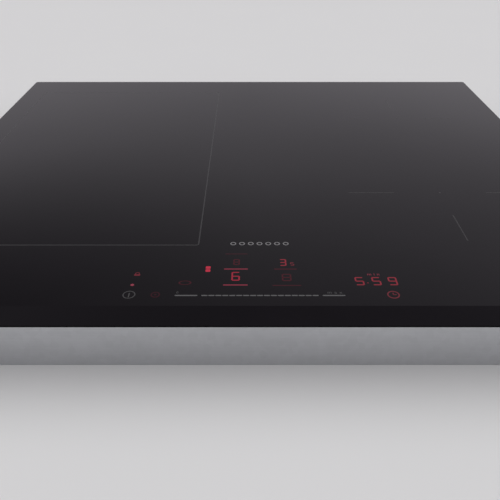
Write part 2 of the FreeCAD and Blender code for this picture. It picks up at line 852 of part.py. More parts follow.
def film_capacitors():
    """Box capacitors in front of the heat sinks and on the filter board."""
    width, depth, height = capacitor_size
    boxes = []
    for board in (left_board_x, right_board_x):
        for i in range(capacitors_per_board):
            centre = (board + capacitor_inset + i * capacitor_pitch, board_front + component_row)
            boxes.append(slab(width, depth, board_top, board_top + height, capacitor_corner, centre))
    width, depth, height = filter_capacitor_size
    centre = (filter_board_x + filter_capacitor_inset, filter_board_y + filter_board_width / 2)
    return boxes + [slab(width, depth, board_top, board_top + height, capacitor_corner, centre)]


def filter_chokes():
    """Wound ring chokes."""
    inset = board_width - choke_inset
    places = [(x + inset, board_front + component_row) for x in (left_board_x, right_board_x)]
    filter_right = filter_board_x + filter_board_length
    places.append((filter_right - filter_choke_inset, filter_board_y + filter_board_width / 2))
    z = board_top + choke_wire_radius
    return [Part.makeTorus(choke_ring_radius, choke_wire_radius, FreeCAD.Vector(x, y, z)) for x, y in places]


def blower_housing(x):
    """A scroll housing: round chamber, forward outlet, inlet in its floor, bearing tube under its lid."""
    chamber = blower_radius - blower_wall
    z0, z1 = tray_sheet, tray_sheet + blower_height
    outer = rod(x, blower_y, z0, z1, blower_radius)
    outer = outer.fuse(block(x, x + blower_radius, blower_y - blower_outlet, blower_y, z0, z1))
    hollow = rod(x, blower_y, z0 + blower_wall, z1 - blower_wall, chamber)
    hollow = hollow.fuse(block(x + blower_wall, x + chamber, blower_y - blower_outlet - 1, blower_y,
                               z0 + blower_wall, z1 - blower_wall))
    housing = outer.cut(hollow).cut(rod(x, blower_y, z0 - 1, z0 + blower_wall + 1, inlet_radius))
    tube_foot = z1 - blower_wall - wheel_end_clear
    housing = housing.fuse(rod(x, blower_y, tube_foot, z1, bearing_tube_radius))
    return housing.cut(rod(x, blower_y, tube_foot - 1, z1 - lid_cap, shaft_radius + shaft_clear))


def blower_wheel(x):
    """A forward-bladed wheel: web, hub, blades, rim ring and the shaft that runs up into the tube."""
    top = tray_sheet + blower_height - blower_wall - wheel_end_clear - shaft_end_clear
    bottom = top - wheel_height
    web = rod(x, blower_y, top - wheel_web, top, wheel_radius)
    hub = rod(x, blower_y, bottom + wheel_hub_lift, top, wheel_hub_radius)
    rim = rod(x, blower_y, bottom, bottom + wheel_rim, wheel_radius)
    rim = rim.cut(rod(x, blower_y, bottom - 1, bottom + 2 * wheel_rim, wheel_inner_radius))
    blades, span = [], wheel_radius - wheel_inner_radius
    for i in range(wheel_blades):
        blade = block(x + wheel_inner_radius + blade_inset / 2, x + wheel_radius - blade_inset,
                      blower_y - blade_thickness / 2, blower_y + blade_thickness / 2, bottom, top)
        blade.rotate(FreeCAD.Vector(x + wheel_inner_radius + span / 2, blower_y, 0), FreeCAD.Vector(0, 0, 1),
                     blade_rake)
        blade.rotate(FreeCAD.Vector(x, blower_y, 0), FreeCAD.Vector(0, 0, 1), 360 / wheel_blades * i)
        blades.append(blade)
    shaft_top = tray_sheet + blower_height - lid_cap - shaft_end_clear
    shaft = rod(x, blower_y, top - wheel_web, shaft_top, shaft_radius)
    return web.fuse([hub, rim, shaft] + blades)


# ---------------------------------------------------------------- control unit
def control_carrier():
    """The open plastic tray that holds the touch board under the glass, on four legs."""
    x0, x1 = control_left, control_right
    outer = block(x0, x1, control_front, control_rear, control_base, control_board_top)
    wall = control_wall
    pocket = block(x0 + wall, x1 - wall, control_front + wall, control_rear - wall,
                   control_base + control_floor, control_board_top + 1)
    carrier = outer.cut(pocket)
    inset = wall + ledge_width
    rest = block(x0, x1, control_front, control_rear, control_base, control_board_bottom)
    rest = rest.cut(block(x0 + inset, x1 - inset, control_front + inset, control_rear - inset,
                          control_base - 1, control_board_bottom + 1))
    legs = []
    for x in (x0 + leg_inset_x, (x0 + x1) / 2, x1 - leg_inset_x):
        for y in (control_front + leg_inset_y, control_rear - leg_inset_y):
            legs.append(rod(x, y, tray_sheet, control_base + control_floor, leg_radius))
    return carrier.fuse([rest] + legs)


def touch_board():
    """The control board, resting on the carrier's ledge."""
    gap = control_wall + touch_clear
    return block(control_left + gap, control_right - gap, control_front + gap, control_rear - gap,
                 control_board_bottom, control_board_top)


def display(x, setback, size):
    """A digit display block between the touch board and the glass."""
    return slab(*size, control_board_top, seal_top, display_corner, (x, front_edge + setback))


def light_guide():
    """The diffuser bar under the slider."""
    middle = (slider_left + slider_right) / 2
    length = slider_right - slider_left + 2 * light_guide_end
    bar = slab(length, light_guide_width, control_board_top, seal_top, light_guide_corner, (middle, key_y))
    pockets = []
    pitch = (slider_right - slider_left) / guide_cells
    for i in range(guide_cells):
        x = slider_left + (i + 0.5) * pitch
        pockets.append(slab(pitch - 2 * guide_wall, light_guide_width - 2 * guide_wall,
                            control_board_top - 1, seal_top - diffuser_skin, guide_pocket_corner, (x, key_y)))
    return bar.cut(pockets)


def touch_pads():
    """The sprung tubular electrodes under the three separate keys."""
    pads = []
    for x in (power_key_x, lock_key_x, timer_key_x):
        tube = rod(x, key_y, control_board_top, seal_top, pad_radius)
        pads.append(tube.cut(rod(x, key_y, control_board_top - 1, seal_top - electrode_skin, pad_bore)))
    return pads


def indicator_lamps():
    """The light wells under the single lamps and symbols."""
    lamps = []
    for x, setback in lamp_places:
        y = front_edge + setback
        well = slab(lamp_size, lamp_size, control_board_top, seal_top, lamp_corner, (x, y))
        lamps.append(well.cut(rod(x, y, control_board_top - 1, seal_top - electrode_skin, lamp_bore)))
    return lamps


# ---------------------------------------------------------------- terminal box
def clamp_screw_x():
    """The clamp's two screw positions across the cable."""
    reach = clamp_width / 2 - screw_head_radius - clamp_screw_margin
    return (cable_x - reach, cable_x + reach)


def terminal_box():
    """The plastic tub in the rear wall, with its rim, hinge ears, cable saddle and wire hole."""
    tub = block(box_left, box_right, box_front, rim_back, box_floor_z, box_top)
    rim = block(box_left - rim_overlap, box_right + rim_overlap, tray_rear, rim_back,
                box_floor_z - rim_height, box_top + rim_height)
    tub = tub.fuse(rim)
    for x in (box_left - rim_overlap, box_right + rim_overlap - ear_thickness):
        ear = bar_along((1, 0, 0), (x, hinge_y, hinge_z), ear_thickness, knuckle_radius)
        web = block(x, x + ear_thickness, tray_rear, hinge_y,
                    hinge_z - knuckle_radius - 2, hinge_z + knuckle_radius)
        tub = tub.fuse([ear, web])
    tub = tub.cut(block(box_left + box_wall, box_right - box_wall, box_front + box_wall, rim_back + 1,
                        box_floor_z + box_wall, box_top - box_wall))
    floor = box_floor_z + box_wall
    saddle = block(cable_x - clamp_width / 2, cable_x + clamp_width / 2, clamp_y, clamp_y + clamp_length,
                   floor - box_wall / 2, cable_z - clamp_gap / 2)
    tub = tub.fuse(saddle)
    cuts = [bar_along((0, 1, 0), (cable_x, clamp_y - 1, cable_z), clamp_length + 2, cable_radius)]
    y, bore = clamp_y + clamp_length / 2, screw_radius + screw_clear
    cuts += [rod(x, y, floor + 1, cable_z + 1, bore) for x in clamp_screw_x()]
    pin_bore = pin_radius + pin_clear
    start, length = box_left - 2 * rim_overlap, box_width + 4 * rim_overlap
    cuts.append(bar_along((1, 0, 0), (start, hinge_y, hinge_z), length, pin_bore))
    length, width = wire_slot_size
    cuts.append(slot(length, width, 3 * box_wall, (box_right - latch_inset, box_front, box_top - width),
                     (1, 0, 0), (0, 1, 0)))
    return tub.cut(cuts)


def cable_clamp():
    """The bridge that clamps the supply cable on the saddle."""
    x0, x1 = cable_x - clamp_width / 2, cable_x + clamp_width / 2
    low, high = cable_z + clamp_gap / 2, cable_z + cable_radius + clamp_top
    wing = low + clamp_top
    bridge = block(x0, x1, clamp_y, clamp_y + clamp_length, low, wing)
    arch = bar_along((0, 1, 0), (cable_x, clamp_y, cable_z), clamp_length, cable_radius + clamp_top)
    reach = 2 * (cable_radius + clamp_top)
    arch = arch.cut(block(cable_x - reach, cable_x + reach, clamp_y - 1, clamp_y + clamp_length + 1,
                          cable_z - reach, low))
    bridge = bridge.fuse(arch).common(block(x0, x1, clamp_y, clamp_y + clamp_length, low, high))
    cuts = [bar_along((0, 1, 0), (cable_x, clamp_y - 1, cable_z), clamp_length + 2, cable_radius)]
    y = clamp_y + clamp_length / 2
    for x in clamp_screw_x():
        cuts.append(rod(x, y, low - 1, wing + 1, screw_radius + screw_clear))
        cuts.append(rod(x, y, wing, high + 1, screw_head_radius + clamp_gap))
    return bridge.cut(cuts)


def clamp_screws():
    """The two screws of the cable clamp."""
    top = cable_z + clamp_gap / 2 + clamp_top
    y = clamp_y + clamp_length / 2
    return [screw((x, y, top), (0, 0, -1), clamp_screw_length) for x in clamp_screw_x()]


def terminal_block():
    """The stepped screw block for the supply conductors."""
    x0, floor = cable_x + clamp_width / 2 + 4 * box_wall, box_floor_z + box_wall
    y0, low, high = box_front + 3 * box_wall, *pole_heights
    inset = pole_depth / 5
    x1 = x0 + pole_count * pole_pitch
    body = block(x0, x1, y0, y0 + pole_depth, floor, floor + low)
    body = body.fuse(block(x0, x1, y0 + inset, y0 + pole_depth - inset, floor, floor + high))
    cuts = []
    for i in range(pole_count):
        x = x0 + (i + 0.5) * pole_pitch
        cuts.append(rod(x, y0 + pole_depth / 2, floor + low - 2, floor + high + 1, pole_screw_radius))
        cuts.append(bar_along((0, 1, 0), (x, y0 + 3 * inset, floor + low / 2), pole_depth, pole_wire_radius))
    return body.cut(cuts)


def terminal_cover():
    """The lid over the terminal box: it hangs from its hinge pin, notched for the cable, latched below."""
    inset = ear_thickness + ear_clear - rim_overlap
    x0, x1 = box_left + inset, box_right - inset
    y0, low = rim_back + cover_gap, box_floor_z - rim_height / 2
    y1 = y0 + cover_thickness
    plate = block(x0, x1, y0, y1, low, hinge_z)
    outer = [e for e in plate.Edges if abs(e.BoundBox.YMin - y1) < 1e-6 and e.BoundBox.ZMin < hinge_z - 1e-6]
    cover = plate.makeChamfer(cover_bevel, outer)
    cover = cover.fuse(bar_along((1, 0, 0), (x0, hinge_y, hinge_z), x1 - x0, knuckle_radius))
    width, height = rib_size
    for x in (x0 + rib_insets[0], x1 - rib_insets[1]):
        cover = cover.fuse(block(x, x + width, y1 - cover_bevel, y1 + height,
                                 low + rib_end, hinge_z - rib_end))
    latch_x, latch_z = box_right - latch_inset, box_floor_z + box_wall + tongue_lift
    tongue = block(latch_x, latch_x + tongue_width, y0 - tongue_length, y0 + cover_thickness / 2,
                   latch_z, latch_z + tongue_thickness)
    cover = cover.fuse(tongue)
    notch = cable_radius + notch_margin
    cuts = [bar_along((1, 0, 0), (x0 - 1, hinge_y, hinge_z), x1 - x0 + 2, pin_radius + pin_clear),
            block(cable_x - notch, cable_x + notch, y0 - 1, y1 + height + 1, low - 1, cable_z),
            bar_along((0, 1, 0), (cable_x, y0 - 1, cable_z), cover_thickness + height + 2, notch)]
    return cover.cut(cuts)


def cover_pin():
    """The steel pin through the ears and the cover's knuckle."""
    x0 = box_left - rim_overlap
    return bar_along((1, 0, 0), (x0, hinge_y, hinge_z), box_width + 2 * rim_overlap, pin_radius)


# ---------------------------------------------------------------- every piece, by its node name
def main():
    """Builds and writes every piece."""
    os.makedirs("parts", exist_ok=True)
    save("glass_top", glass_top())
    save("worktop_seal", worktop_seal())
    save("glass_adhesive", glass_adhesive())
    save("glass_frame", glass_frame())
    save("casing_tray", casing_tray())
    save("frame_screws", frame_screws())
    save("board_screws", board_screws())
    save("rating_plate", rating_plate())
    save("cutout_clips", cutout_clips())
    save("clip_screws", clip_screws())
    for i, shape in enumerate(flex_windings(), 1):
        save(f"flex_winding_{i}", shape)
    for i, y in enumerate(flex_centres, 1):
        save(f"flex_ferrites_{i}", flex_ferrites(y))
    save("flex_insulator", flex_insulator())
    save("flex_sensors", [sensor(flex_centre_x, y, left_plate_top) for y in flex_centres])
    round_zones = (("front", front_zone_y, front_coil_radius), ("rear", rear_zone_y, rear_coil_radius))
    for name, y, radius in round_zones:
        save(f"{name}_coil_winding", winding((round_centre_x, y), 0, round_inner_radius, radius))
        save(f"{name}_coil_carrier", round_carrier(y, radius))
        save(f"{name}_coil_ferrites", round_ferrites(y, radius))
        save(f"{name}_coil_insulator", round_insulator(y, radius))
        save(f"{name}_coil_sensor", sensor(round_centre_x, y, right_plate_top))
    for side in ("left", "right"):
        save(f"coil_plate_{side}", coil_plate(side))
    save("plate_posts", plate_posts())
    save("plate_springs", plate_springs())
    save("power_board_left", circuit_board(left_board_x, board_front, board_width, board_length))
    save("power_board_right", circuit_board(right_board_x, board_front, board_width, board_length))
    filter_size = (filter_board_length, filter_board_width)
    save("filter_board", circuit_board(filter_board_x, filter_board_y, *filter_size))
    save("heat_sink_left", heat_sink(left_sink_x))
    save("heat_sink_right", heat_sink(right_sink_x))
    save("power_transistors", power_transistors())
    save("film_capacitors", film_capacitors())
    save("filter_chokes", filter_chokes())
    for side, x in (("left", left_blower_x), ("right", right_blower_x)):
        save(f"blower_housing_{side}", blower_housing(x))
        save(f"blower_wheel_{side}", blower_wheel(x))
    save("control_carrier", control_carrier())
    save("touch_board", touch_board())
    save("zone_display_left", display(left_digits_x, zone_digits_setback, zone_display_size))
    save("zone_display_right", display(right_digits_x, zone_digits_setback, zone_display_size))
    save("timer_display", display(timer_x, timer_setback, timer_display_size))
    save("indicator_lamps", indicator_lamps())
    save("light_guide", light_guide())
    save("touch_pads", touch_pads())
    save("terminal_box", terminal_box())
    save("cable_clamp", cable_clamp())
    save("clamp_screws", clamp_screws())
    save("terminal_block", terminal_block())
    save("terminal_cover", terminal_cover())
    save("cover_pin", cover_pin())


main()
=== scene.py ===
import logging
import math
from collections.abc import Callable, Iterable, Iterator, Sequence
from contextlib import contextmanager
from dataclasses import dataclass, field
from enum import Enum
from typing import Any

import bpy
from mathutils import Matrix, Vector


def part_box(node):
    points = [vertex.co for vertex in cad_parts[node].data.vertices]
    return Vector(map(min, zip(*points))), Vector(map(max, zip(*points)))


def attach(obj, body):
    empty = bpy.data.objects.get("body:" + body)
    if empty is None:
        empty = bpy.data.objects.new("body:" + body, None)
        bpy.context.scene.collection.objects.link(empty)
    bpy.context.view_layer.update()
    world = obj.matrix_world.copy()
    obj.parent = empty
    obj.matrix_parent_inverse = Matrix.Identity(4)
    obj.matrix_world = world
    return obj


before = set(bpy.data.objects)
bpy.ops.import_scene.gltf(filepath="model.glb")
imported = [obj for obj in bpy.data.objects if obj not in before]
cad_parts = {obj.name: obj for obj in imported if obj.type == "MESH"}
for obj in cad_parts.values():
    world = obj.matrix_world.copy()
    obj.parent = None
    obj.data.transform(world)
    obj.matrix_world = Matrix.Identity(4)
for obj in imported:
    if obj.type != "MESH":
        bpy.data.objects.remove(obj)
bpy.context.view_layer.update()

MM = 0.001
BODY = "hob"
log = logging.getLogger("hob")

Colour = tuple[float, float, float]
Place = tuple[float, float]
Settings = dict[str, Any]
Inputs = dict[int | str, Any]


# ------------------------------------------------------------------------------------- shader maths
class Sock:
    """An output socket of a node, which other nodes can read."""

    def __init__(self, graph: "Graph", socket: bpy.types.NodeSocket) -> None:
        """Keeps the socket and the node tree that it belongs to."""
        self.graph = graph
        self.socket = socket


class Num(Sock):
    """A number socket whose operators add Math nodes."""

    def _math(self, operation: str, *operands: "Num | float") -> "Num":
        """Adds one Math node over the operands."""
        return self.graph.num("ShaderNodeMath", {"operation": operation}, dict(enumerate(operands)))

    def __add__(self, other: "Num | float") -> "Num":
        """Sum."""
        return self._math("ADD", self, other)

    def __sub__(self, other: "Num | float") -> "Num":
        """Difference."""
        return self._math("SUBTRACT", self, other)

    def __mul__(self, other: "Num | float") -> "Num":
        """Product."""
        return self._math("MULTIPLY", self, other)

    def __rsub__(self, other: float) -> "Num":
        """Difference from a plain number."""
        return self._math("SUBTRACT", other, self)

    __radd__ = __add__
    __rmul__ = __mul__

    def abs(self) -> "Num":
        """Absolute value."""
        return self._math("ABSOLUTE", self)

    def sine(self) -> "Num":
        """Sine, in radians."""
        return self._math("SINE", self)

    def root(self) -> "Num":
        """Square root."""
        return self._math("SQRT", self)

    def at_least(self, low: float) -> "Num":
        """The larger of this and a limit."""
        return self._math("MAXIMUM", self, low)

    def over(self, limit: float) -> "Num":
        """1 where this is above a limit, otherwise 0."""
        return self._math("GREATER_THAN", self, limit)

    def spread(self, low: float, high: float, curve: str = "SMOOTHSTEP") -> "Num":
        """Stretches the span from low to high over 0 to 1, clamped."""
        settings = {"interpolation_type": curve}
        return self.graph.num("ShaderNodeMapRange", settings, {0: self, 1: low, 2: high})

    def ramp(self, stops: Sequence[tuple[float, Colour]]) -> Sock:
        """The colour at this place along a ramp."""
        return self.graph.sock("ShaderNodeValToRGB", {"stops": stops}, {0: self})


class Graph:
    """A node tree, with short ways to add nodes to it."""

    def __init__(self, tree: bpy.types.NodeTree) -> None:
        """Keeps the tree."""
        self.tree = tree

    def node(self, kind: str, settings: Settings | None = None,
             inputs: Inputs | None = None) -> bpy.types.Node:
        """Adds any node.

        Args:
            kind: the node's type.
            settings: what is set first, with "stops" for a ramp's positions and values.
            inputs: each socket's value or link, by index or name.

        Returns:
            The new node.
        """
        made = self.tree.nodes.new(kind)
        for key, value in (settings or {}).items():
            if key == "stops":
                self.fill_ramp(made.color_ramp, value)
            else:
                setattr(made, key, value)
        for key, value in (inputs or {}).items():
            self.feed(made.inputs[key], value)
        return made

    def feed(self, socket: bpy.types.NodeSocket, value: Any) -> None:
        """Links a socket to another, or sets its constant value.

        Args:
            socket: the input socket to fill.
            value: another node's output, a number, or a colour or vector.
        """
        if isinstance(value, Sock):
            self.tree.links.new(value.socket, socket)
        elif socket.type == "RGBA":
            socket.default_value = (*value, 1.0)
        else:
            socket.default_value = value

    @staticmethod
    def fill_ramp(ramp: bpy.types.ColorRamp, stops: Sequence[tuple[float, Colour]]) -> None:
        """Replaces a ramp's stops.

        Args:
            ramp: the node's ramp.
            stops: each stop's position from 0 to 1 and its colour, in order.
        """
        while len(ramp.elements) > 1:
            ramp.elements.remove(ramp.elements[-1])
        ramp.elements[0].position = stops[0][0]
        ramp.elements[0].color = (*stops[0][1], 1.0)
        for position, colour in stops[1:]:
            ramp.elements.new(position).color = (*colour, 1.0)

    def num(self, kind: str, settings: Settings | None = None, inputs: Inputs | None = None,
            output: int | str = 0) -> Num:
        """Adds a node and returns one of its outputs as a number."""
        return Num(self, self.node(kind, settings, inputs).outputs[output])

    def sock(self, kind: str, settings: Settings | None = None, inputs: Inputs | None = None,
             output: int | str = 0) -> Sock:
        """Adds a node and returns one of its outputs as a colour or vector."""
        return Sock(self, self.node(kind, settings, inputs).outputs[output])

    def axes(self, vector: Sock) -> tuple[Num, Num, Num]:
        """A vector's x, y and z."""
        split = self.node("ShaderNodeSeparateXYZ", None, {0: vector})
        return Num(self, split.outputs[0]), Num(self, split.outputs[1]), Num(self, split.outputs[2])

    def blend(self, factor: Num | float, first: Sock | Colour, second: Sock | Colour) -> Sock:
        """Mixes two colours."""
        made = self.node("ShaderNodeMix", {"data_type": "RGBA"}, {0: factor, 6: first, 7: second})
        return Sock(self, made.outputs[2])


class Shader(Graph):
    """One material's node tree, around its Principled shader."""

    def __init__(self, name: str) -> None:
        """Makes an empty material.

        Args:
            name: the material's name.
        """
        self.material = bpy.data.materials.new(name)
        self.material.use_nodes = True
        super().__init__(self.material.node_tree)
        self.bsdf = next(n for n in self.tree.nodes if n.type == "BSDF_PRINCIPLED")

    def place(self) -> Sock:
        """The point on the surface, in the object's own coordinates."""
        return self.sock("ShaderNodeTexCoord", output="Object")

    def stretched(self, scale: Colour) -> Sock:
        """The point on the surface, scaled by axis."""
        return self.sock("ShaderNodeMapping", None, {"Vector": self.place(), "Scale": scale})

    def noise(self, scale: float, detail: float = 3.0, roughness: float = 0.55,
              vector: Sock | None = None) -> Num:
        """Fractal noise around 0.5."""
        inputs = {"Vector": vector or self.place(), "Scale": scale, "Detail": detail, "Roughness": roughness}
        return self.num("ShaderNodeTexNoise", None, inputs)

    def cells(self, scale: float, output: int | str = 0) -> Num:
        """Voronoi cells: the distance to a cell's point, or its random colour as a number."""
        return self.num("ShaderNodeTexVoronoi", None, {"Vector": self.place(), "Scale": scale}, output)

    def bump(self, height: Num, distance: float, strength: float = 1.0) -> Sock:
        """A bump normal from a height."""
        inputs = {"Strength": strength, "Distance": distance, "Height": height}
        return self.sock("ShaderNodeBump", None, inputs)

    def cover(self, mask: Num, first: Sock, second: Sock) -> None:
        """Mixes two shaders by a mask and makes the result the surface.

        Args:
            mask: 0 where the first shader shows, 1 where the second does.
            first: one shader.
            second: the other shader.
        """
        mixed = self.sock("ShaderNodeMixShader", None, {0: mask, 1: first, 2: second})
        output = next(n for n in self.tree.nodes if n.type == "OUTPUT_MATERIAL")
        self.feed(output.inputs["Surface"], mixed)

    def surface(self, **inputs: Any) -> None:
        """Sets the Principled shader's sockets, named with underscores for spaces."""
        for key, value in inputs.items():
            self.feed(self.bsdf.inputs[key.replace("_", " ")], value)


def shades(base: Colour, *factors: float) -> Iterable[Colour]:
    """Darker and lighter versions of a colour."""
    return (tuple(factor * part for part in base) for factor in factors)


# ------------------------------------------------------------------------------------- finishes
@dataclass(frozen=True)
class Finish:
    """A surface finish, made into a material once and then shared."""

    name: str

    def paint(self, shader: Shader) -> None:
        """Adds the finish's nodes."""
        raise NotImplementedError

    def material(self) -> bpy.types.Material:
        """Makes the finish's material, or finds it.

        Returns:
            The material.
        """
        found = bpy.data.materials.get(self.name)
        if found is None:
            shader = Shader(self.name)
            self.paint(shader)
            found = shader.material
        return found

    def dress(self, *pieces: bpy.types.Object) -> None:
        """Gives the finish to whole objects.

        Args:
            pieces: the objects.
        """
        for piece in pieces:
            piece.data.materials.clear()
            piece.data.materials.append(self.material())


@dataclass(frozen=True)
class BlackGlass(Finish):
    """Polished black glass-ceramic with faint wipe marks, and a matt lower edge whose near-black colour is
    painted shade and dark reflection.
    """

    edge_top: float
    base: Colour = (0.0036, 0.0027, 0.0042)
    # painted shade: the near-black colour of the matt lip below the facet stands in for its dark reflection
    # and shade
    ground: Colour = (0.0013, 0.0013, 0.0014)
    polish: float = 0.045
    haze: float = 0.035

    def paint(self, shader: Shader) -> None:
        """Haze and a slow waviness over a polished black body, and a matt edge below the facet, painted near
        black with almost no gloss as painted shade and dark reflection.

        Args:
            shader: the material to fill.
        """
        haze = shader.noise(9.0, 4.0).spread(0.42, 0.75)
        streaks = shader.noise(26.0, 3.0, vector=shader.stretched((1.0, 0.16, 1.0))).spread(0.45, 0.8)
        low, high = shades(self.base, 1.0, 1.35)
        shader.surface(Base_Color=shader.blend(haze, low, high), IOR=1.54, Specular_IOR_Level=0.5,
                       Roughness=self.polish + self.haze * (0.6 * haze + 0.4 * streaks),
                       Normal=shader.bump(shader.noise(14.0, 1.0), 0.00012, 0.25))
        grit = shader.noise(1800.0, 2.0)
        low, high = shades(self.ground, 0.6, 1.4)
        # painted shade and reflection: the lip's matt finish is real, but its near-black colour and almost
        # no specular make it read dark
        matt = shader.sock("ShaderNodeBsdfPrincipled", None, {
            "Base Color": shader.blend(grit, low, high), "Roughness": 0.55, "Specular IOR Level": 0.02,
            "Normal": shader.bump(grit, 0.00003, 0.5)})
        polished = shader.axes(shader.place())[2].over(self.edge_top)
        shader.cover(polished, matt, Sock(shader, shader.bsdf.outputs[0]))


@dataclass(frozen=True)
class Ink(Finish):
    """Ceramic ink fired onto the glass, or print on a label."""

    base: Colour
    roughness: float = 0.42
    slot: str = "glass_ceramic"

    def paint(self, shader: Shader) -> None:
        """A slightly grainy matt print.

        Args:
            shader: the material to fill.
        """
        grain = shader.noise(2600.0, 2.0)
        low, high = shades(self.base, 0.88, 1.10)
        shader.surface(Base_Color=shader.blend(grain, low, high), Roughness=self.roughness + 0.08 * grain,
                       Normal=shader.bump(grain, 0.00001, 0.4))


@dataclass(frozen=True)
class Glow(Finish):
    """A symbol lit from below and seen through the dark glass."""

    colour: Colour
    level: float
    slot: str = "display_face"

    def paint(self, shader: Shader) -> None:
        """An even glow with a faint grain, under a polished surface.

        Args:
            shader: the material to fill.
        """
        grain = shader.noise(900.0, 2.0).spread(0.2, 0.8)
        low, high = shades(self.colour, 0.86, 1.0)
        shader.surface(Base_Color=(0.01, 0.002, 0.003), Roughness=0.06, IOR=1.54,
                       Emission_Color=shader.blend(grain, low, high), Emission_Strength=self.level)


@dataclass(frozen=True)
class ZincSheet(Finish):
    """Pressed steel sheet with a hot-dip zinc coat: fine spangle and rolling lines."""

    base: Colour = (0.56, 0.57, 0.59)
    spangle: float = 210.0
    roughness: float = 0.36

    def paint(self, shader: Shader) -> None:
        """Cells of slightly different grey, rolled along X, a little dulled in patches.

        Args:
            shader: the material to fill.
        """
        warp = shader.noise(22.0, 5.0, 0.65)
        cell = shader.cells(self.spangle, "Color")
        rolled = shader.noise(700.0, 2.0, vector=shader.stretched((0.02, 1.0, 1.0)))
        dull = shader.noise(7.0, 4.0).spread(0.45, 0.75)
        dark, light = shades(self.base, 0.86, 1.08)
        shader.surface(Base_Color=shader.blend(0.34 * cell + 0.36 * rolled + 0.30 * warp, dark, light),
                       Metallic=1.0, Roughness=self.roughness + 0.10 * dull + 0.06 * (cell - 0.5),
                       Normal=shader.bump(rolled + 0.4 * cell, 0.00002, 0.35))


@dataclass(frozen=True)
class BrushedMetal(Finish):
    """Rolled, brushed or extruded metal with lines along one axis."""

    base: Colour = (0.5, 0.5, 0.52)
    roughness: float = 0.3
    lines: Colour = (1.0, 0.03, 1.0)
    pitch: float = 900.0

    def paint(self, shader: Shader) -> None:
        """Fine lines in shade, roughness and height.

        Args:
            shader: the material to fill.
        """
        line = shader.noise(self.pitch, 3.0, vector=shader.stretched(self.lines))
        wear = shader.noise(30.0, 3.0).spread(0.4, 0.8)
        low, high = shades(self.base, 0.80, 1.12)
        shader.surface(Base_Color=shader.blend(line, low, high), Metallic=1.0,
                       Roughness=self.roughness + 0.15 * line + 0.08 * wear,
                       Normal=shader.bump(line, 0.00002, 0.4))


@dataclass(frozen=True)
class Plated(Finish):
    """Small plated hardware, a touch uneven in colour."""

    base: Colour = (0.72, 0.72, 0.68)
    tint: Colour = (0.62, 0.58, 0.44)

    def paint(self, shader: Shader) -> None:
        """Patches of passivation over bright plating.

        Args:
            shader: the material to fill.
        """
        patch = shader.noise(160.0, 3.0).spread(0.45, 0.7)
        shader.surface(Base_Color=shader.blend(patch, self.base, self.tint), Metallic=1.0,
                       Roughness=0.22 + 0.14 * patch, Normal=shader.bump(patch, 0.00001, 0.3))


@dataclass(frozen=True)
class Moulded(Finish):
    """Moulded plastic with an eroded grain."""

    base: Colour = (0.035, 0.035, 0.04)
    roughness: float = 0.5
    grain: float = 1500.0

    def paint(self, shader: Shader) -> None:
        """Fine grain and slow flow marks.

        Args:
            shader: the material to fill.
        """
        flow = shader.noise(18.0, 3.0)
        low, high = shades(self.base, 0.85, 1.2)
        shader.surface(Base_Color=shader.blend(flow, low, high),
                       Roughness=self.roughness + 0.12 * (flow - 0.5),
                       Normal=shader.bump(shader.cells(self.grain), 0.00004, 0.35))


@dataclass(frozen=True)
class Foam(Finish):
    """Closed-cell foam or silicone with open pores on its skin."""

    base: Colour = (0.02, 0.02, 0.02)
    pores: float = 700.0

    def paint(self, shader: Shader) -> None:
        """Pores and dust.

        Args:
            shader: the material to fill.
        """
        pore = shader.cells(self.pores).spread(0.1, 0.5)
        dust = shader.noise(60.0, 4.0).spread(0.5, 0.85)
        dusty = tuple(3.0 * part + 0.01 for part in self.base)
        shader.surface(Base_Color=shader.blend(dust, self.base, dusty), Roughness=0.85,
                       Normal=shader.bump(pore, 0.00025, 0.7))


@dataclass(frozen=True)
class Laminate(Finish):
    """Circuit board: solder resist over copper tracks."""

    base: Colour = (0.012, 0.11, 0.045)
    track: Colour = (0.03, 0.19, 0.075)
    tin: Colour = (0.55, 0.54, 0.50)

    def paint(self, shader: Shader) -> None:
        """Tracks as the joints of a brick pattern, with tinned pads in patches.

        Args:
            shader: the material to fill.
        """
        inputs = {"Vector": shader.place(), "Scale": 260.0}
        brick = shader.num("ShaderNodeTexBrick", {"offset": 0.37}, inputs, "Fac")
        patch = shader.noise(55.0, 1.0).over(0.56)
        pads = (1 - shader.cells(330.0).spread(0.10, 0.16)) * patch
        resist = shader.blend(brick, self.track, self.base)
        shader.surface(Base_Color=shader.blend(pads, resist, self.tin), Metallic=pads,
                       Roughness=0.34 + 0.1 * patch, Normal=shader.bump(brick, 0.00004, 0.4))


@dataclass(frozen=True)
class Litz(Finish):
    """Twisted enamelled strands wound round a long or round core."""

    base: Colour = (0.52, 0.22, 0.10)
    centre: Place = (0.0, 0.0)
    half_straight: float = 0.0
    strand: float = 0.0011

    def paint(self, shader: Shader) -> None:
        """Strands that follow the turns, with a slow twist.

        Args:
            shader: the material to fill.
        """
        x, y, _ = shader.axes(shader.place())
        along = ((x - self.centre[0]).abs() - self.half_straight).at_least(0.0)
        across = y - self.centre[1]
        ring = (along * along + across * across).root()
        twist = shader.noise(90.0, 2.0)
        strand = 0.5 + 0.5 * (ring * (2 * math.pi / self.strand) + 5.0 * twist).sine()
        low, high = shades(self.base, 0.55, 1.15)
        shader.surface(Base_Color=shader.blend(strand, low, high), Metallic=0.85,
                       Roughness=0.34 + 0.16 * twist, Normal=shader.bump(strand, 0.0002, 0.5))


@dataclass(frozen=True)
class Mineral(Finish):
    """Sintered, pressed or cast mineral surface with flecks."""

    base: Colour = (0.05, 0.05, 0.055)
    fleck: Colour = (0.11, 0.11, 0.12)
    flecks: float = 500.0
    roughness: float = 0.7

    def paint(self, shader: Shader) -> None:
        """Scattered flecks in a fine rough ground.

        Args:
            shader: the material to fill.
        """
        fleck = shader.cells(self.flecks, "Color").spread(0.72, 0.9)
        shader.surface(Base_Color=shader.blend(fleck, self.base, self.fleck), Roughness=self.roughness,
                       Normal=shader.bump(shader.noise(900.0, 3.0), 0.00005, 0.5))


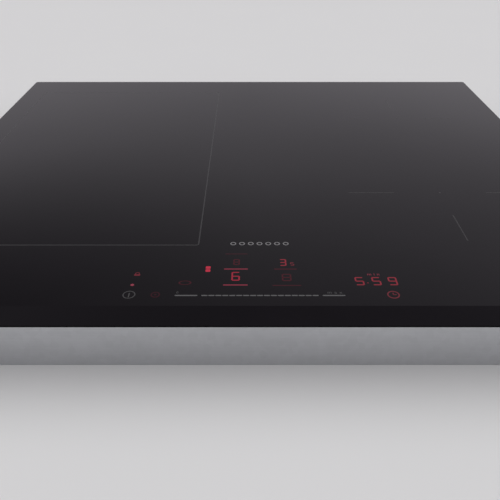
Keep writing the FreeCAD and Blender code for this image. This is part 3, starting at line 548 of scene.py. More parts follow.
@dataclass(frozen=True)
class PaleFloor(Finish):
    """A plain pale studio floor, clear from below so that the underside can be looked at."""

    base: Colour = (0.80, 0.80, 0.80)

    def paint(self, shader: Shader) -> None:
        """Nearly even paint on the upper side only.

        Args:
            shader: the material to fill.
        """
        low, high = shades(self.base, 0.985, 1.0)
        shader.surface(Base_Color=shader.blend(shader.noise(6.0, 2.0), low, high), Roughness=0.9)
        clear = shader.sock("ShaderNodeBsdfTransparent")
        below = shader.num("ShaderNodeNewGeometry", output="Backfacing")
        shader.cover(below, Sock(shader, shader.bsdf.outputs[0]), clear)


class Level(Enum):
    """How strongly a symbol is lit."""

    BRIGHT = Glow("lit_bright", (1.0, 0.055, 0.12), 0.29)
    CLEAR = Glow("lit_clear", (1.0, 0.085, 0.14), 0.22)
    STRONG = Glow("lit_strong", (1.0, 0.05, 0.11), 0.46)
    BAR = Glow("lit_bar", (1.0, 0.12, 0.22), 0.215)
    MEDIUM = Glow("lit_medium", (1.0, 0.13, 0.20), 0.13)
    DIM = Glow("lit_dim", (1.0, 0.10, 0.20), 0.040)
    FAINT = Glow("lit_faint", (1.0, 0.12, 0.26), 0.023)
    LAMP = Glow("lit_lamp", (1.0, 0.16, 0.26), 0.245)


class Print(Enum):
    """The inks, from the brightest."""

    ORNAMENT = Ink("ornament_ink", (0.214, 0.210, 0.216))
    SCALE = Ink("scale_ink", (0.108, 0.107, 0.110))
    KEY = Ink("key_ink", (0.057, 0.056, 0.058))
    ZONE = Ink("zone_ink", (0.040, 0.039, 0.041), 0.28)
    OUTLINE = Ink("outline_ink", (0.044, 0.043, 0.045), 0.28)
    LABEL = Ink("label_ink", (0.05, 0.05, 0.055), 0.6, "data_plate")


# ------------------------------------------------------------------------------------- mesh tools
class Kind(Enum):
    """What is selected in edit mode: the select mode, and the mesh's own list of such parts."""

    POINT = ("VERT", "vertices")
    EDGE = ("EDGE", "edges")
    FACE = ("FACE", "polygons")


class Bench:
    """Modelling steps that the pieces share."""

    @staticmethod
    def clear() -> None:
        """Leaves nothing selected."""
        bpy.ops.object.select_all(action="DESELECT")

    @staticmethod
    def settle() -> bpy.types.Object:
        """Applies the active object's place, turn and size, so that it sits at the origin."""
        bpy.ops.object.transform_apply(location=True, rotation=True, scale=True)
        return bpy.context.object

    @classmethod
    def pick(cls, piece: bpy.types.Object, *others: bpy.types.Object) -> None:
        """Selects some objects.

        Args:
            piece: the one that becomes active.
            others: more objects.
        """
        cls.clear()
        for each in (piece, *others):
            each.select_set(True)
        bpy.context.view_layer.objects.active = piece

    @classmethod
    @contextmanager
    def editing(cls, piece: bpy.types.Object, kind: Kind,
                wanted: Callable[[Any], bool] = lambda part: True) -> Iterator[None]:
        """Opens edit mode with some of a mesh selected, and leaves it again.

        Args:
            piece: the object to edit.
            kind: whether points, edges or faces are selected.
            wanted: says of each of them whether it is selected.

        Returns:
            A context in which the mesh is being edited.
        """
        mode, parts = kind.value
        cls.pick(piece)
        bpy.ops.object.mode_set(mode="EDIT")
        bpy.ops.mesh.select_mode(type=mode)
        bpy.ops.mesh.select_all(action="DESELECT")
        bpy.ops.object.mode_set(mode="OBJECT")
        for part in getattr(piece.data, parts):
            part.select = wanted(part)
        bpy.ops.object.mode_set(mode="EDIT")
        yield
        bpy.ops.object.mode_set(mode="OBJECT")

    @classmethod
    def join(cls, name: str, parts: Sequence[bpy.types.Object]) -> bpy.types.Object:
        """Joins objects into one named piece.

        Args:
            name: the piece's name.
            parts: the objects, which are used up.

        Returns:
            The piece.
        """
        cls.pick(*parts)
        if len(parts) > 1:
            bpy.ops.object.join()
        piece = bpy.context.object
        piece.name = name
        piece.data.name = name
        return piece

    @staticmethod
    def repeat(pattern: bpy.types.Object, moves: Iterable[Matrix]) -> list[bpy.types.Object]:
        """Copies a pattern, each copy with its own mesh. The pattern itself is used up.

        Args:
            pattern: the modelled object.
            moves: a move or turn for each copy.

        Returns:
            The copies.
        """
        copies = []
        for move in moves:
            made = pattern.copy()
            made.data = pattern.data.copy()
            made.data.transform(move)
            bpy.context.scene.collection.objects.link(made)
            copies.append(made)
        bpy.data.objects.remove(pattern)
        return copies

    @classmethod
    def thicken(cls, piece: bpy.types.Object, height: float) -> bpy.types.Object:
        """Gives a flat sheet that faces up a thickness above itself.

        Args:
            piece: the sheet.
            height: its thickness in millimetres.

        Returns:
            The same object.
        """
        cls.pick(piece)
        solid = piece.modifiers.new("wall", "SOLIDIFY")
        solid.thickness = height * MM
        solid.offset = 1.0
        bpy.ops.object.modifier_apply(modifier=solid.name)
        return piece


# ------------------------------------------------------------------------------------- flat shapes
FACES_UP = 0.9
WELD = 1e-7


@dataclass(frozen=True)
class Shape:
    """A flat shape, modelled once and copied to its places. Sizes and places are in millimetres."""

    places: tuple[Place, ...] = field(default=((0.0, 0.0),), kw_only=True)
    height: float = field(default=0.05, kw_only=True)

    def model(self) -> bpy.types.Object:
        """Models the shape at the origin, with its underside at z = 0."""
        raise NotImplementedError

    def build(self, point: Vector) -> list[bpy.types.Object]:
        """Makes the shape's copies.

        Args:
            point: the point, in metres, that the places are counted from.

        Returns:
            The copies.
        """
        moves = (Matrix.Translation(point + Vector((*place, 0)) * MM) for place in self.places)
        return Bench.repeat(self.model(), moves)


@dataclass(frozen=True)
class Bar(Shape):
    """A bar with rounded ends: its turn is in degrees from X, its rounding a share of its width."""

    length: float
    width: float
    turn: float = 0.0
    rounding: float = 0.45
    steps: int = 3

    def model(self) -> bpy.types.Object:
        """Draws a cube out to size and rounds its upright edges.

        Returns:
            The bar.
        """
        Bench.clear()
        bpy.ops.mesh.primitive_cube_add(size=MM, location=(0, 0, self.height * MM / 2),
                                        rotation=(0, 0, math.radians(self.turn)))
        bpy.context.object.scale = (self.length, self.width, self.height)
        piece = Bench.settle()

        def upright(edge: bpy.types.MeshEdge) -> bool:
            """Whether an edge runs from the underside to the top."""
            low, high = (piece.data.vertices[i].co.z for i in edge.vertices)
            return abs(high - low) > self.height * MM / 2

        with Bench.editing(piece, Kind.EDGE, upright):
            bpy.ops.mesh.bevel(offset=self.width * MM * self.rounding, segments=self.steps, affect="EDGES")
        return piece


@dataclass(frozen=True)
class Stroke(Shape):
    """A bar along X with pointed ends."""

    length: float
    width: float

    def model(self) -> bpy.types.Object:
        """Draws a six-sided prism out to the stroke's length.

        Returns:
            The stroke.
        """
        Bench.clear()
        point = self.width * MM / math.sqrt(3)
        bpy.ops.mesh.primitive_cylinder_add(vertices=6, radius=point, depth=self.height * MM,
                                            location=(0, 0, self.height * MM / 2),
                                            rotation=(0, 0, math.radians(30)))
        piece = Bench.settle()
        for side in (-1, 1):
            with Bench.editing(piece, Kind.POINT, lambda vertex: vertex.co.x * side > point / 4):
                bpy.ops.transform.translate(value=(side * (self.length * MM / 2 - point), 0, 0))
        return piece


@dataclass(frozen=True)
class Disc(Shape):
    """A round dot whose top is stepped a little: the step is a share of its radius and its height."""

    radius: float
    sides: int = 32
    step: Place = (0.2, 0.1)

    def model(self) -> bpy.types.Object:
        """Insets and lifts the top of a cylinder.

        Returns:
            The dot.
        """
        Bench.clear()
        bpy.ops.mesh.primitive_cylinder_add(vertices=self.sides, radius=self.radius * MM,
                                            depth=self.height * MM, location=(0, 0, self.height * MM / 2))
        piece = Bench.settle()
        inward, upward = self.step
        with Bench.editing(piece, Kind.FACE, lambda face: face.normal.z > FACES_UP):
            bpy.ops.mesh.inset(thickness=self.radius * MM * inward, depth=self.height * MM * upward)
        return piece


@dataclass(frozen=True)
class Ring(Shape):
    """A ring: its radius is at the middle of its line, its squash the depth of an oval over its width."""

    radius: float
    line: float
    squash: float = 1.0
    sides: int = 48

    def model(self) -> bpy.types.Object:
        """Widens a circle to a band and thickens it.

        Returns:
            The ring.
        """
        Bench.clear()
        inner, outer = self.radius - self.line / 2, self.radius + self.line / 2
        bpy.ops.mesh.primitive_circle_add(vertices=self.sides, radius=inner * MM, location=(0, 0, 0))
        piece = bpy.context.object
        with Bench.editing(piece, Kind.POINT):
            bpy.ops.mesh.extrude_edges_move()
            bpy.ops.transform.resize(value=(outer / inner, outer / inner, 1.0), center_override=(0, 0, 0))
            bpy.ops.mesh.select_all(action="SELECT")
            bpy.ops.transform.resize(value=(1.0, self.squash, 1.0), center_override=(0, 0, 0))
            bpy.ops.mesh.normals_make_consistent(inside=False)
        if piece.data.polygons[0].normal.z < 0:
            with Bench.editing(piece, Kind.FACE):
                bpy.ops.mesh.flip_normals()
        return Bench.thicken(piece, self.height)


@dataclass(frozen=True)
class Outline(Shape):
    """A rectangle of one line width with rounded corners."""

    width: float
    depth: float
    line: float
    corner: float
    steps: int = 4

    def model(self) -> bpy.types.Object:
        """Rounds a plane's corners, insets it and takes the middle out.

        Returns:
            The outline.
        """
        Bench.clear()
        bpy.ops.mesh.primitive_plane_add(size=MM, location=(0, 0, 0))
        bpy.context.object.scale = (self.width, self.depth, 1.0)
        piece = Bench.settle()
        with Bench.editing(piece, Kind.POINT):
            bpy.ops.mesh.bevel(offset=self.corner * MM, segments=self.steps, affect="VERTICES")
            bpy.ops.mesh.select_all(action="SELECT")
            bpy.ops.mesh.inset(thickness=self.line * MM, depth=0.0)
            bpy.ops.mesh.delete(type="FACE")
        return Bench.thicken(piece, self.height)


@dataclass(frozen=True)
class Words(Shape):
    """Small generic characters: a spacing of 1 is normal, and bold is how much each stroke is widened."""

    text: str
    size: float
    spacing: float = 1.0
    bold: float = 0.03
    steps: int = 4

    def model(self) -> bpy.types.Object:
        """Sets the characters, makes them a mesh and closes its seams.

        Returns:
            The characters.
        """
        Bench.clear()
        bpy.ops.object.text_add(location=(0, 0, 0))
        font = bpy.context.object.data
        font.body = self.text
        font.size = self.size * MM
        font.space_character = self.spacing
        font.align_x = "CENTER"
        font.align_y = "CENTER"
        font.extrude = self.height * MM / 2
        font.offset = self.bold * MM
        font.resolution_u = self.steps
        bpy.ops.object.convert(target="MESH")
        piece = bpy.context.object
        piece.data.transform(Matrix.Translation((0, 0, self.height * MM / 2)))
        with Bench.editing(piece, Kind.POINT):
            bpy.ops.mesh.remove_doubles(threshold=WELD)
            bpy.ops.mesh.normals_make_consistent(inside=False)
        return piece


class Segment(Enum):
    """A digit's seven strokes: middle as a share of half the width and height, and whether it stands."""

    TOP = (0.0, 1.0, False)
    TOP_LEFT = (-1.0, 0.5, True)
    TOP_RIGHT = (1.0, 0.5, True)
    MIDDLE = (0.0, 0.0, False)
    LOW_LEFT = (-1.0, -0.5, True)
    LOW_RIGHT = (1.0, -0.5, True)
    LOW = (0.0, -1.0, False)


UNLIT: dict[str, tuple[Segment, ...]] = {
    "3": (Segment.TOP_LEFT, Segment.LOW_LEFT),
    "5": (Segment.TOP_RIGHT, Segment.LOW_LEFT),
    "6": (Segment.TOP_RIGHT,),
    "8": (),
    "9": (Segment.LOW_LEFT,),
}


@dataclass(frozen=True)
class Digit(Shape):
    """A seven-segment digit: thin makes its strokes and gaps smaller, point is how pointed they are."""

    glyph: str
    size: Place
    thin: float = 1.0
    stroke: float = 1.15
    gap: float = 0.25
    point: float = 0.6

    def model(self) -> bpy.types.Object:
        """Makes the digit from a lying and a standing stroke, each modelled once and copied.

        Returns:
            The digit.
        """
        stroke = self.stroke * self.thin
        half_width, half_height = ((side - stroke) / 2 for side in self.size)
        spare = self.point * stroke - 2 * self.gap * self.thin
        bars = []
        for stands, length in ((False, 2 * half_width), (True, half_height)):
            turn = Matrix.Rotation(math.radians(90 if stands else 0), 4, "Z")
            spots = (segment.value[:2] for segment in Segment
                     if segment.value[2] == stands and segment not in UNLIT[self.glyph])
            moves = (Matrix.Translation(Vector((x * half_width, y * half_height, 0)) * MM) @ turn
                     for x, y in spots)
            bars += Bench.repeat(Stroke(length + spare, stroke, height=self.height).model(), moves)
        return Bench.join("digit", bars)


def in_row(count: int, pitch: float) -> tuple[Place, ...]:
    """The places of a row along X, counted from its middle."""
    return tuple(((i - (count - 1) / 2) * pitch, 0.0) for i in range(count))


# ------------------------------------------------------------------------------------- pieces and nodes
def place_piece(name: str, look: Level | Print, parts: Sequence[bpy.types.Object]) -> None:
    """Joins a new piece's parts, dresses it and lets it ride on the hob.

    Args:
        name: the piece's name.
        look: its light or ink.
        parts: its parts, which are used up.
    """
    piece = Bench.join(name, parts)
    look.value.dress(piece)
    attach(piece, BODY)
    log.info("made %s: %d faces", name, len(piece.data.polygons))


def dress_nodes(finish: Finish, *names: str) -> None:
    """Gives a finish to parts of the frame, by name."""
    finish.dress(*(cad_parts[name] for name in names))
    log.info("%s on %s", finish.name, ", ".join(names))


def middle_of(node: str) -> Vector:
    """The centre of a node's box."""
    low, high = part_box(node)
    return (low + high) / 2


# ------------------------------------------------------------------------------------- glass and marks
@dataclass
class GlassFace:
    """The glass plate, on whose top the marks and lit symbols lie. Sizes are in millimetres."""

    sink: float = 0.02
    edge_height: float = 1.48
    low: Vector = field(default_factory=lambda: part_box("glass_top")[0])
    high: Vector = field(default_factory=lambda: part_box("glass_top")[1])

    def over(self, point: Vector, dx: float = 0.0, dy: float = 0.0) -> Vector:
        """The point just under the surface above a part inside, moved by millimetres."""
        return Vector((point.x + dx * MM, point.y + dy * MM, self.high.z - self.sink * MM))

    def dress(self) -> None:
        """Gives the plate its finish."""
        dress_nodes(BlackGlass("black_glass", self.low.z + self.edge_height * MM), "glass_top")


@dataclass(frozen=True)
class Mark:
    """A named piece on the glass: its look, its shift from a part inside, and its flat shapes."""

    name: str
    look: Level | Print
    shift: Place
    shapes: tuple[Shape, ...]

    def build(self, face: GlassFace, part: Vector) -> None:
        """Makes the piece.

        Args:
            face: the glass that it lies on.
            part: the middle of the part that it lies over.
        """
        point = face.over(part, *self.shift)
        place_piece(self.name, self.look, [copy for shape in self.shapes for copy in shape.build(point)])


@dataclass
class ZoneMarks:
    """The printed outline of the long zone and the tick marks of the round zones."""

    face: GlassFace
    line: float = 0.95
    corner: float = 2.0
    margin: Place = (13.5, 2.0)
    tick_start: float = 0.50
    tick_end: float = 0.995
    tick_shift: Place = (-0.7, -6.4)
    dot: float = 0.9

    def outline(self) -> None:
        """Makes the long zone's rectangle."""
        low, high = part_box("flex_insulator")
        across, deep = self.margin
        size = (high - low) / MM
        shape = Outline(size.x + 2 * across, size.y + 2 * deep, self.line, self.corner)
        Mark("long_zone_outline", Print.OUTLINE, (0, 0), (shape,)).build(self.face, (low + high) / 2)

    def ticks(self, name: str, winding: str, sides: tuple[int, ...]) -> None:
        """Makes radial ticks and a centre dot over a round coil.

        Args:
            name: the piece's name.
            winding: the coil's node.
            sides: the direction of each tick, in degrees from X.
        """
        low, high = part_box(winding)
        radius = (high.x - low.x) / 2 / MM
        start, end = radius * self.tick_start, radius * self.tick_end
        hub = self.face.over((low + high) / 2, *self.tick_shift)
        out = Matrix.Translation(Vector((start + end, 0, 0)) * MM / 2)
        turns = (Matrix.Translation(hub) @ Matrix.Rotation(math.radians(side), 4, "Z") @ out
                 for side in sides)
        ticks = Bench.repeat(Bar(end - start, self.line).model(), turns)
        place_piece(name, Print.ZONE, Disc(self.dot).build(hub) + ticks)

    def build(self) -> None:
        """Makes every zone mark."""
        self.outline()
        self.ticks("front_zone_ticks", "front_coil_winding", (180, 270, 0))
        self.ticks("rear_zone_ticks", "rear_coil_winding", (0, 90, 180))


@dataclass
class SliderScale:
    """The power slider's printed scale: two end bars, a row of dashes, and generic end marks.

    An end mark's two numbers are its place from the scale's end and its size.
    """

    face: GlassFace
    end_margin: float = 1.5
    end_length: float = 15.8
    dash_count: int = 17
    dash_pitch: float = 4.82
    dash_gap: float = 0.5
    thickness: float = 1.3
    setback: float = -0.9
    mark_rise: float = 3.4
    low_mark: Place = (1.6, 3.4)
    high_mark: Place = (7.0, 4.4)
    high_spacing: float = 1.7

    def build(self) -> None:
        """Makes the scale over the light guide, and the marks behind its ends."""
        low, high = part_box("light_guide")
        reach = (high.x - low.x) / 2 / MM - self.end_margin
        ends = Bar(self.end_length, self.thickness, places=in_row(2, 2 * reach - self.end_length))
        dashes = Bar(self.dash_pitch - self.dash_gap, self.thickness,
                     places=in_row(self.dash_count, self.dash_pitch))
        inset, size = self.low_mark
        zero = Words("0", size, places=((inset - reach, self.mark_rise),))
        inset, size = self.high_mark
        full = Words("max", size, self.high_spacing, places=((reach - inset, self.mark_rise),))
        for name, look, shapes in (("slider_scale", Print.SCALE, (ends, dashes)),
                                   ("slider_end_marks", Print.KEY, (zero, full))):
            Mark(name, look, (0, self.setback), shapes).build(self.face, (low + high) / 2)


@dataclass
class PlainOrnament:
    """A row of plain rings behind the displays."""

    face: GlassFace
    shift: Place = (-0.4, 35.1)
    rings: Ring = Ring(1.9, 0.85, sides=28, places=in_row(7, 6.9))

    def build(self) -> None:
        """Makes the row, centred between the two zone displays."""
        between = (middle_of("zone_display_left") + middle_of("zone_display_right")) / 2
        Mark("plain_ornament", Print.ORNAMENT, self.shift, (self.rings,)).build(self.face, between)


@dataclass
class Displays:
    """What the zone displays and the timer show: each chosen level stands between two bars."""

    face: GlassFace
    left: tuple[Mark, ...] = (
        Mark("left_level_bar_rear", Level.FAINT, (0, 20.1), (Bar(17.0, 1.2),)),
        Mark("left_level_digit_rear", Level.DIM, (0.3, 8.8), (Digit("8", (5.0, 8.0)),)),
        Mark("left_level_bar_middle", Level.BAR, (0, -0.4), (Bar(17.7, 1.2),)),
        Mark("left_level_digit_front", Level.BRIGHT, (0, -9.7), (Digit("6", (6.2, 11.0)),)),
        Mark("left_level_bar_front", Level.BAR, (0, -20.5), (Bar(17.7, 1.2),)),
    )
    right: tuple[Mark, ...] = (
        Mark("right_level_digit_rear", Level.CLEAR, (-1.5, 8.3), (Digit("3", (5.2, 9.0)),)),
        Mark("right_level_half_step", Level.MEDIUM, (5.3, 6.3), (Digit("5", (3.0, 4.4), thin=0.6),)),
        Mark("right_level_bar_middle", Level.DIM, (0, -0.5), (Bar(17.0, 1.2),)),
        Mark("right_level_digit_front", Level.DIM, (0.3, -11.2), (Digit("8", (7.0, 9.0)),)),
        Mark("right_level_bar_front", Level.DIM, (0, -21.0), (Bar(20.5, 0.9),)),
    )
    timer: tuple[Mark, ...] = (
        Mark("timer_digits", Level.CLEAR, (0, -3.3), (
            Digit("5", (6.4, 10.0), places=((-11.9, 0), (0.2, 0))),
            Digit("9", (6.4, 10.0), places=((11.9, 0),)),
            Disc(0.5, places=((-6.2, -2.1),)))),
        Mark("timer_unit", Level.BAR, (-0.6, 5.2), (Words("min", 4.2, spacing=1.7),)),
    )

    def build(self) -> None:
        """Makes all that the displays show."""
        for node, marks in (("zone_display_left", self.left), ("zone_display_right", self.right),
                            ("timer_display", self.timer)):
            for mark in marks:
                mark.build(self.face, middle_of(node))


@dataclass
class KeyMarks:
    """The lamps and symbols beside the first and last of the light wells and the key electrodes."""

    face: GlassFace
    well: float = 6.4
    first_well: tuple[Mark, ...] = (
        Mark("power_lamp", Level.LAMP, (0, 0), (Disc(1.3),)),
        Mark("lock_symbol", Level.MEDIUM, (1.5, 12.4), (
            Bar(4.4, 2.0, rounding=0.25),
            Ring(1.35, 0.6, sides=24, places=((0, 1.7),)))),
        Mark("keep_warm_symbol", Level.DIM, (37.2, 2.6), (Ring(4.1, 1.1, squash=0.55),)),
    )
    last_well: tuple[Mark, ...] = (
        Mark("joined_zone_symbol", Level.STRONG, (0, 0), (
            Bar(3.6, 3.3, rounding=0.22, places=((0, -1.75), (0, 2.1))),)),
    )
    first_key: tuple[Mark, ...] = (
        Mark("power_key_mark", Print.KEY, (0.2, 0), (
            Ring(4.05, 0.75),
            Bar(5.2, 0.85, turn=90, places=((0, -0.5),)))),
        Mark("lock_key_symbol", Level.FAINT, (18.5, 0), (Ring(2.8, 0.9), Disc(0.9))),
    )
    last_key: tuple[Mark, ...] = (
        Mark("timer_key_symbol", Level.MEDIUM, (-0.3, 0), (
            Ring(3.9, 0.95),
            Bar(2.6, 0.7, turn=90, places=((0, 1.1),)),
            Bar(2.4, 0.7, places=((1.1, 0),)))),
    )

    def build(self) -> None:
        """Makes every symbol. A well is as wide as its field says, and a key as the row of keys is deep."""
        wells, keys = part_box("indicator_lamps"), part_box("touch_pads")
        key = keys[1].y - keys[0].y
        for (low, high), size, first, last in (
                (wells, self.well * MM, self.first_well, self.last_well),
                (keys, key, self.first_key, self.last_key)):
            inward = Vector((size, size, 0)) / 2
            for mark in first:
                mark.build(self.face, low + inward)
            for mark in last:
                mark.build(self.face, high - inward)


# ------------------------------------------------------------------------------------- casing and inside
@dataclass
class Casing:
    """The sheet-metal casing with its frame, seals, clips, screws and data plate."""

    row_count: int = 6
    column_shares: tuple[float, ...] = (0.04, 0.36, 0.68, 0.96)
    field_width: float = 0.92
    field_height: float = 0.76
    rule: float = 0.35
    print_height: float = 0.06
    print_sink: float = 0.02

    def dress(self) -> None:
        """Gives each part its finish."""
        dress_nodes(ZincSheet("zinc_sheet"), "casing_tray", "glass_frame")
        dress_nodes(Foam("foam_tape"), "worktop_seal")
        dress_nodes(Foam("silicone_bead", (0.05, 0.05, 0.052), 260.0), "glass_adhesive")
        dress_nodes(Plated("zinc_screws"), "frame_screws", "board_screws", "clip_screws", "clamp_screws")
        dress_nodes(BrushedMetal("spring_steel", (0.40, 0.41, 0.43), 0.28), "cutout_clips", "plate_springs")
        dress_nodes(BrushedMetal("label_foil", (0.74, 0.75, 0.76), 0.42, (0.03, 1.0, 1.0), 1400.0),
                    "rating_plate")

    def data_fields(self) -> None:
        """Blank ruled fields, made lying flat and then stood up on the data plate's rear face."""
        low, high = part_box("rating_plate")
        width, tall = (high.x - low.x) / MM, (high.z - low.z) / MM
        span = tall * self.field_height
        pitch = span / (self.row_count - 1)
        rows = Bar(width * self.field_width, self.rule, height=self.print_height,
                   places=tuple((0.0, rise) for rise, _ in in_row(self.row_count, pitch)))
        columns = Bar(span, self.rule, turn=90, height=self.print_height,
                      places=tuple(((share - 0.5) * width, 0.0) for share in self.column_shares))
        fields = Bench.join("flat_fields", rows.build(Vector()) + columns.build(Vector()))
        rear = Vector(((low.x + high.x) / 2, high.y - self.print_sink * MM, (low.z + high.z) / 2))
        fields.data.transform(Matrix.Translation(rear) @ Matrix.Rotation(math.radians(-90), 4, "X"))
        place_piece("data_plate_fields", Print.LABEL, [fields])

    def build(self) -> None:
        """Dresses the casing and rules its data plate."""
        self.dress()
        self.data_fields()


@dataclass
class Coils:
    """The windings and what carries them."""

    windings: tuple[str, ...] = ("flex_winding_1", "flex_winding_2", "flex_winding_3", "flex_winding_4",
                                 "front_coil_winding", "rear_coil_winding")

    def dress(self) -> None:
        """Gives each part its finish, and each winding strands that follow its own turns."""
        for name in self.windings:
            low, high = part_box(name)
            half = max(0.0, (high.x - low.x) - (high.y - low.y)) / 2
            centre = ((low.x + high.x) / 2, (low.y + high.y) / 2)
            dress_nodes(Litz(f"litz_{name}", centre=centre, half_straight=half), name)
        dress_nodes(Mineral("ferrite"), "flex_ferrites_1", "flex_ferrites_2", "flex_ferrites_3",
                    "flex_ferrites_4", "front_coil_ferrites", "rear_coil_ferrites")
        dress_nodes(Mineral("mica_sheet", (0.55, 0.50, 0.42), (0.75, 0.72, 0.64), 240.0, 0.6),
                    "flex_insulator", "front_coil_insulator", "rear_coil_insulator")
        dress_nodes(Foam("sensor_caps", (0.62, 0.62, 0.60), 900.0), "flex_sensors", "front_coil_sensor",
                    "rear_coil_sensor")
        dress_nodes(Moulded("heat_plastic", (0.03, 0.03, 0.034), 0.55), "front_coil_carrier",
                    "rear_coil_carrier", "plate_posts", "control_carrier")
        dress_nodes(BrushedMetal("mill_aluminium", (0.70, 0.71, 0.72), 0.34, (0.03, 1.0, 1.0)),
                    "coil_plate_left", "coil_plate_right")


@dataclass
class Electronics:
    """Boards, their large components, the blowers and the touch unit."""

    choke_strand: float = 0.0016

    def dress(self) -> None:
        """Gives each part its finish."""
        dress_nodes(Laminate("circuit_board"), "power_board_left", "power_board_right", "filter_board",
                    "touch_board")
        dress_nodes(BrushedMetal("extruded_aluminium", (0.66, 0.67, 0.69), 0.38), "heat_sink_left",
                    "heat_sink_right")
        dress_nodes(Moulded("moulded_epoxy", (0.02, 0.02, 0.021), 0.62, 2200.0), "power_transistors")
        dress_nodes(Moulded("capacitor_boxes", (0.42, 0.36, 0.16), 0.45), "film_capacitors")
        dress_nodes(Litz("choke_wire", (0.45, 0.17, 0.07), strand=self.choke_strand), "filter_chokes")
        dress_nodes(Moulded("blower_plastic", (0.04, 0.04, 0.043), 0.48), "blower_housing_left",
                    "blower_housing_right", "blower_wheel_left", "blower_wheel_right")
        dress_nodes(Moulded("smoked_face", (0.03, 0.008, 0.010), 0.25, 1200.0), "zone_display_left",
                    "zone_display_right", "timer_display", "indicator_lamps")
        dress_nodes(Moulded("diffuser", (0.78, 0.78, 0.76), 0.4), "light_guide")
        dress_nodes(Foam("conductive_foam", (0.12, 0.12, 0.13), 1100.0), "touch_pads")


@dataclass
class Terminals:
    """The supply connection: box, block, clamp and hinged cover."""

    plastic: Colour = (0.035, 0.035, 0.038)
    nylon: Colour = (0.66, 0.66, 0.62)

    def dress(self) -> None:
        """Gives each part its finish."""
        dress_nodes(Moulded("terminal_plastic", self.plastic, 0.46, 1300.0), "terminal_box", "cable_clamp",
                    "terminal_cover")
        dress_nodes(Moulded("terminal_nylon", self.nylon, 0.38), "terminal_block")
        dress_nodes(BrushedMetal("ground_pin", (0.62, 0.62, 0.63), 0.2, (0.03, 1.0, 1.0)), "cover_pin")


# ------------------------------------------------------------------------------------- studio
@dataclass(frozen=True)
class SoftLight:
    """Soft light from far off, the same all over the floor, and not mirrored in the glass."""

    name: str
    source: Colour
    strength: float
    spread: float = 26.0

    def build(self) -> None:
        """Hangs the light."""
        data = bpy.data.lights.new(self.name, "SUN")
        data.energy = self.strength
        data.angle = math.radians(self.spread)
        lamp = bpy.data.objects.new(self.name, data)
        lamp.rotation_euler = Vector(self.source).to_track_quat("Z", "Y").to_euler()
        lamp.visible_glossy = False
        bpy.context.scene.collection.objects.link(lamp)


@dataclass(frozen=True)
class RoomBand:
    """How light the room is at one height, from -1 below to 1 above: left, ahead and right."""

    height: float
    left: float
    ahead: float
    right: float


@dataclass
class Room:
    """The grey room that the glass and metal reflect: light at the horizon and darker above."""

    tone: Colour = (1.0, 0.952, 1.024)
    side: float = 0.4
    bands: tuple[RoomBand, ...] = (
        RoomBand(-1.00, 0.30, 0.30, 0.30),
        RoomBand(-0.60, 0.75, 0.75, 0.75),
        RoomBand(0.00, 0.60, 0.60, 0.64),
        RoomBand(0.22, 0.50, 0.47, 0.55),
        RoomBand(0.32, 0.45, 0.40, 0.47),
        RoomBand(0.37, 0.395, 0.38, 0.385),
        RoomBand(0.42, 0.27, 0.36, 0.325),
        RoomBand(0.47, 0.175, 0.30, 0.29),
        RoomBand(0.52, 0.11, 0.25, 0.27),
        RoomBand(0.57, 0.085, 0.21, 0.235),
        RoomBand(0.63, 0.085, 0.165, 0.19),
        RoomBand(0.76, 0.15, 0.11, 0.13),
        RoomBand(0.84, 0.12, 0.105, 0.115),
        RoomBand(1.00, 0.14, 0.14, 0.14),
    )

    def ramp(self, up: Num, side: str) -> Sock:
        """The room's colour by height on one side.

        Args:
            up: the height, from 0 to 1.
            side: left, ahead or right.

        Returns:
            The colour.
        """
        stops = []
        for band in self.bands:
            level = getattr(band, side)
            stops.append((0.5 + 0.5 * band.height, tuple(level * part for part in self.tone)))
        return up.ramp(stops)

    def build(self) -> None:
        """Paints the surroundings."""
        world = bpy.data.worlds.new("studio")
        bpy.context.scene.world = world
        world.use_nodes = True
        graph = Graph(world.node_tree)
        x, _, z = graph.axes(graph.sock("ShaderNodeTexCoord", output="Generated"))
        up = 0.5 + 0.5 * z
        left, ahead, right = (self.ramp(up, side) for side in ("left", "ahead", "right"))
        half = graph.blend(x.spread(-self.side, 0.0, "LINEAR"), left, ahead)
        back = next(n for n in graph.tree.nodes if n.type == "BACKGROUND")
        graph.feed(back.inputs[0], graph.blend(x.spread(0.0, self.side, "LINEAR"), half, right))


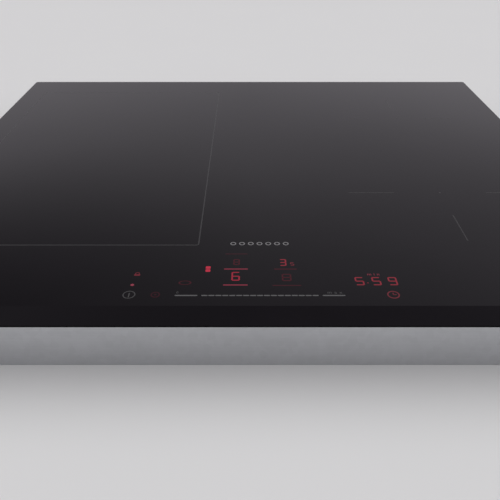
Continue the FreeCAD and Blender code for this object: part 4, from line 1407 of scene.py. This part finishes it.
@dataclass
class Studio:
    """Floor, lights, room and camera."""

    pitch: float = 32.53
    lens: float = 43.1
    sensor: float = 36.0
    camera_back: float = 0.3034
    camera_up: float = 0.2498
    floor_reach: float = 9.0
    floor_lap: float = 0.005
    floor_gap: float = 0.0002
    lights: tuple[SoftLight, ...] = (
        SoftLight("skylight", (0.0, -0.1, 1.0), 1.75, 110.0),
        SoftLight("soft_light_left", (-1.0, -1.0, 0.65), 0.24),
        SoftLight("soft_light_right", (1.0, -0.75, 0.57), 0.32),
    )

    def floor(self) -> None:
        """Makes a wide pale floor, open where the casing stands on it."""
        low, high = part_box("casing_tray")
        size = high - low
        grow = 2 * (self.floor_reach - self.floor_lap)
        Bench.clear()
        bpy.ops.mesh.primitive_plane_add(size=1.0, location=(0, 0, low.z - self.floor_gap))
        floor = bpy.context.object
        floor.scale = (size.x + grow, size.y + grow, 1.0)
        floor.name = "studio_floor"
        Bench.settle()
        with Bench.editing(floor, Kind.FACE):
            bpy.ops.mesh.inset(thickness=self.floor_reach, depth=0.0)
            bpy.ops.mesh.delete(type="FACE")
        PaleFloor("pale_floor").dress(floor)

    def camera(self) -> None:
        """Places the camera above and in front of the middle of the glass's front edge."""
        low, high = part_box("glass_top")
        data = bpy.data.cameras.new("camera")
        data.lens = self.lens
        data.sensor_width = self.sensor
        camera = bpy.data.objects.new("camera", data)
        camera.location = (0.0, low.y - self.camera_back, high.z + self.camera_up)
        camera.rotation_euler = (math.radians(90 - self.pitch), 0, 0)
        bpy.context.scene.collection.objects.link(camera)
        bpy.context.scene.camera = camera

    def build(self) -> None:
        """Sets the studio up."""
        self.floor()
        Room().build()
        for light in self.lights:
            light.build()
        self.camera()
        bpy.context.scene.view_settings.view_transform = "Standard"


def main() -> None:
    """Builds the sub-assemblies in order."""
    logging.basicConfig(level=logging.INFO, format="%(name)s: %(message)s")
    face = GlassFace()
    face.dress()
    for part in (ZoneMarks(face), SliderScale(face), PlainOrnament(face), Displays(face), KeyMarks(face),
                 Casing()):
        part.build()
    for inner in (Coils(), Electronics(), Terminals()):
        inner.dress()
    Studio().build()


if __name__ == "__main__":
    main()
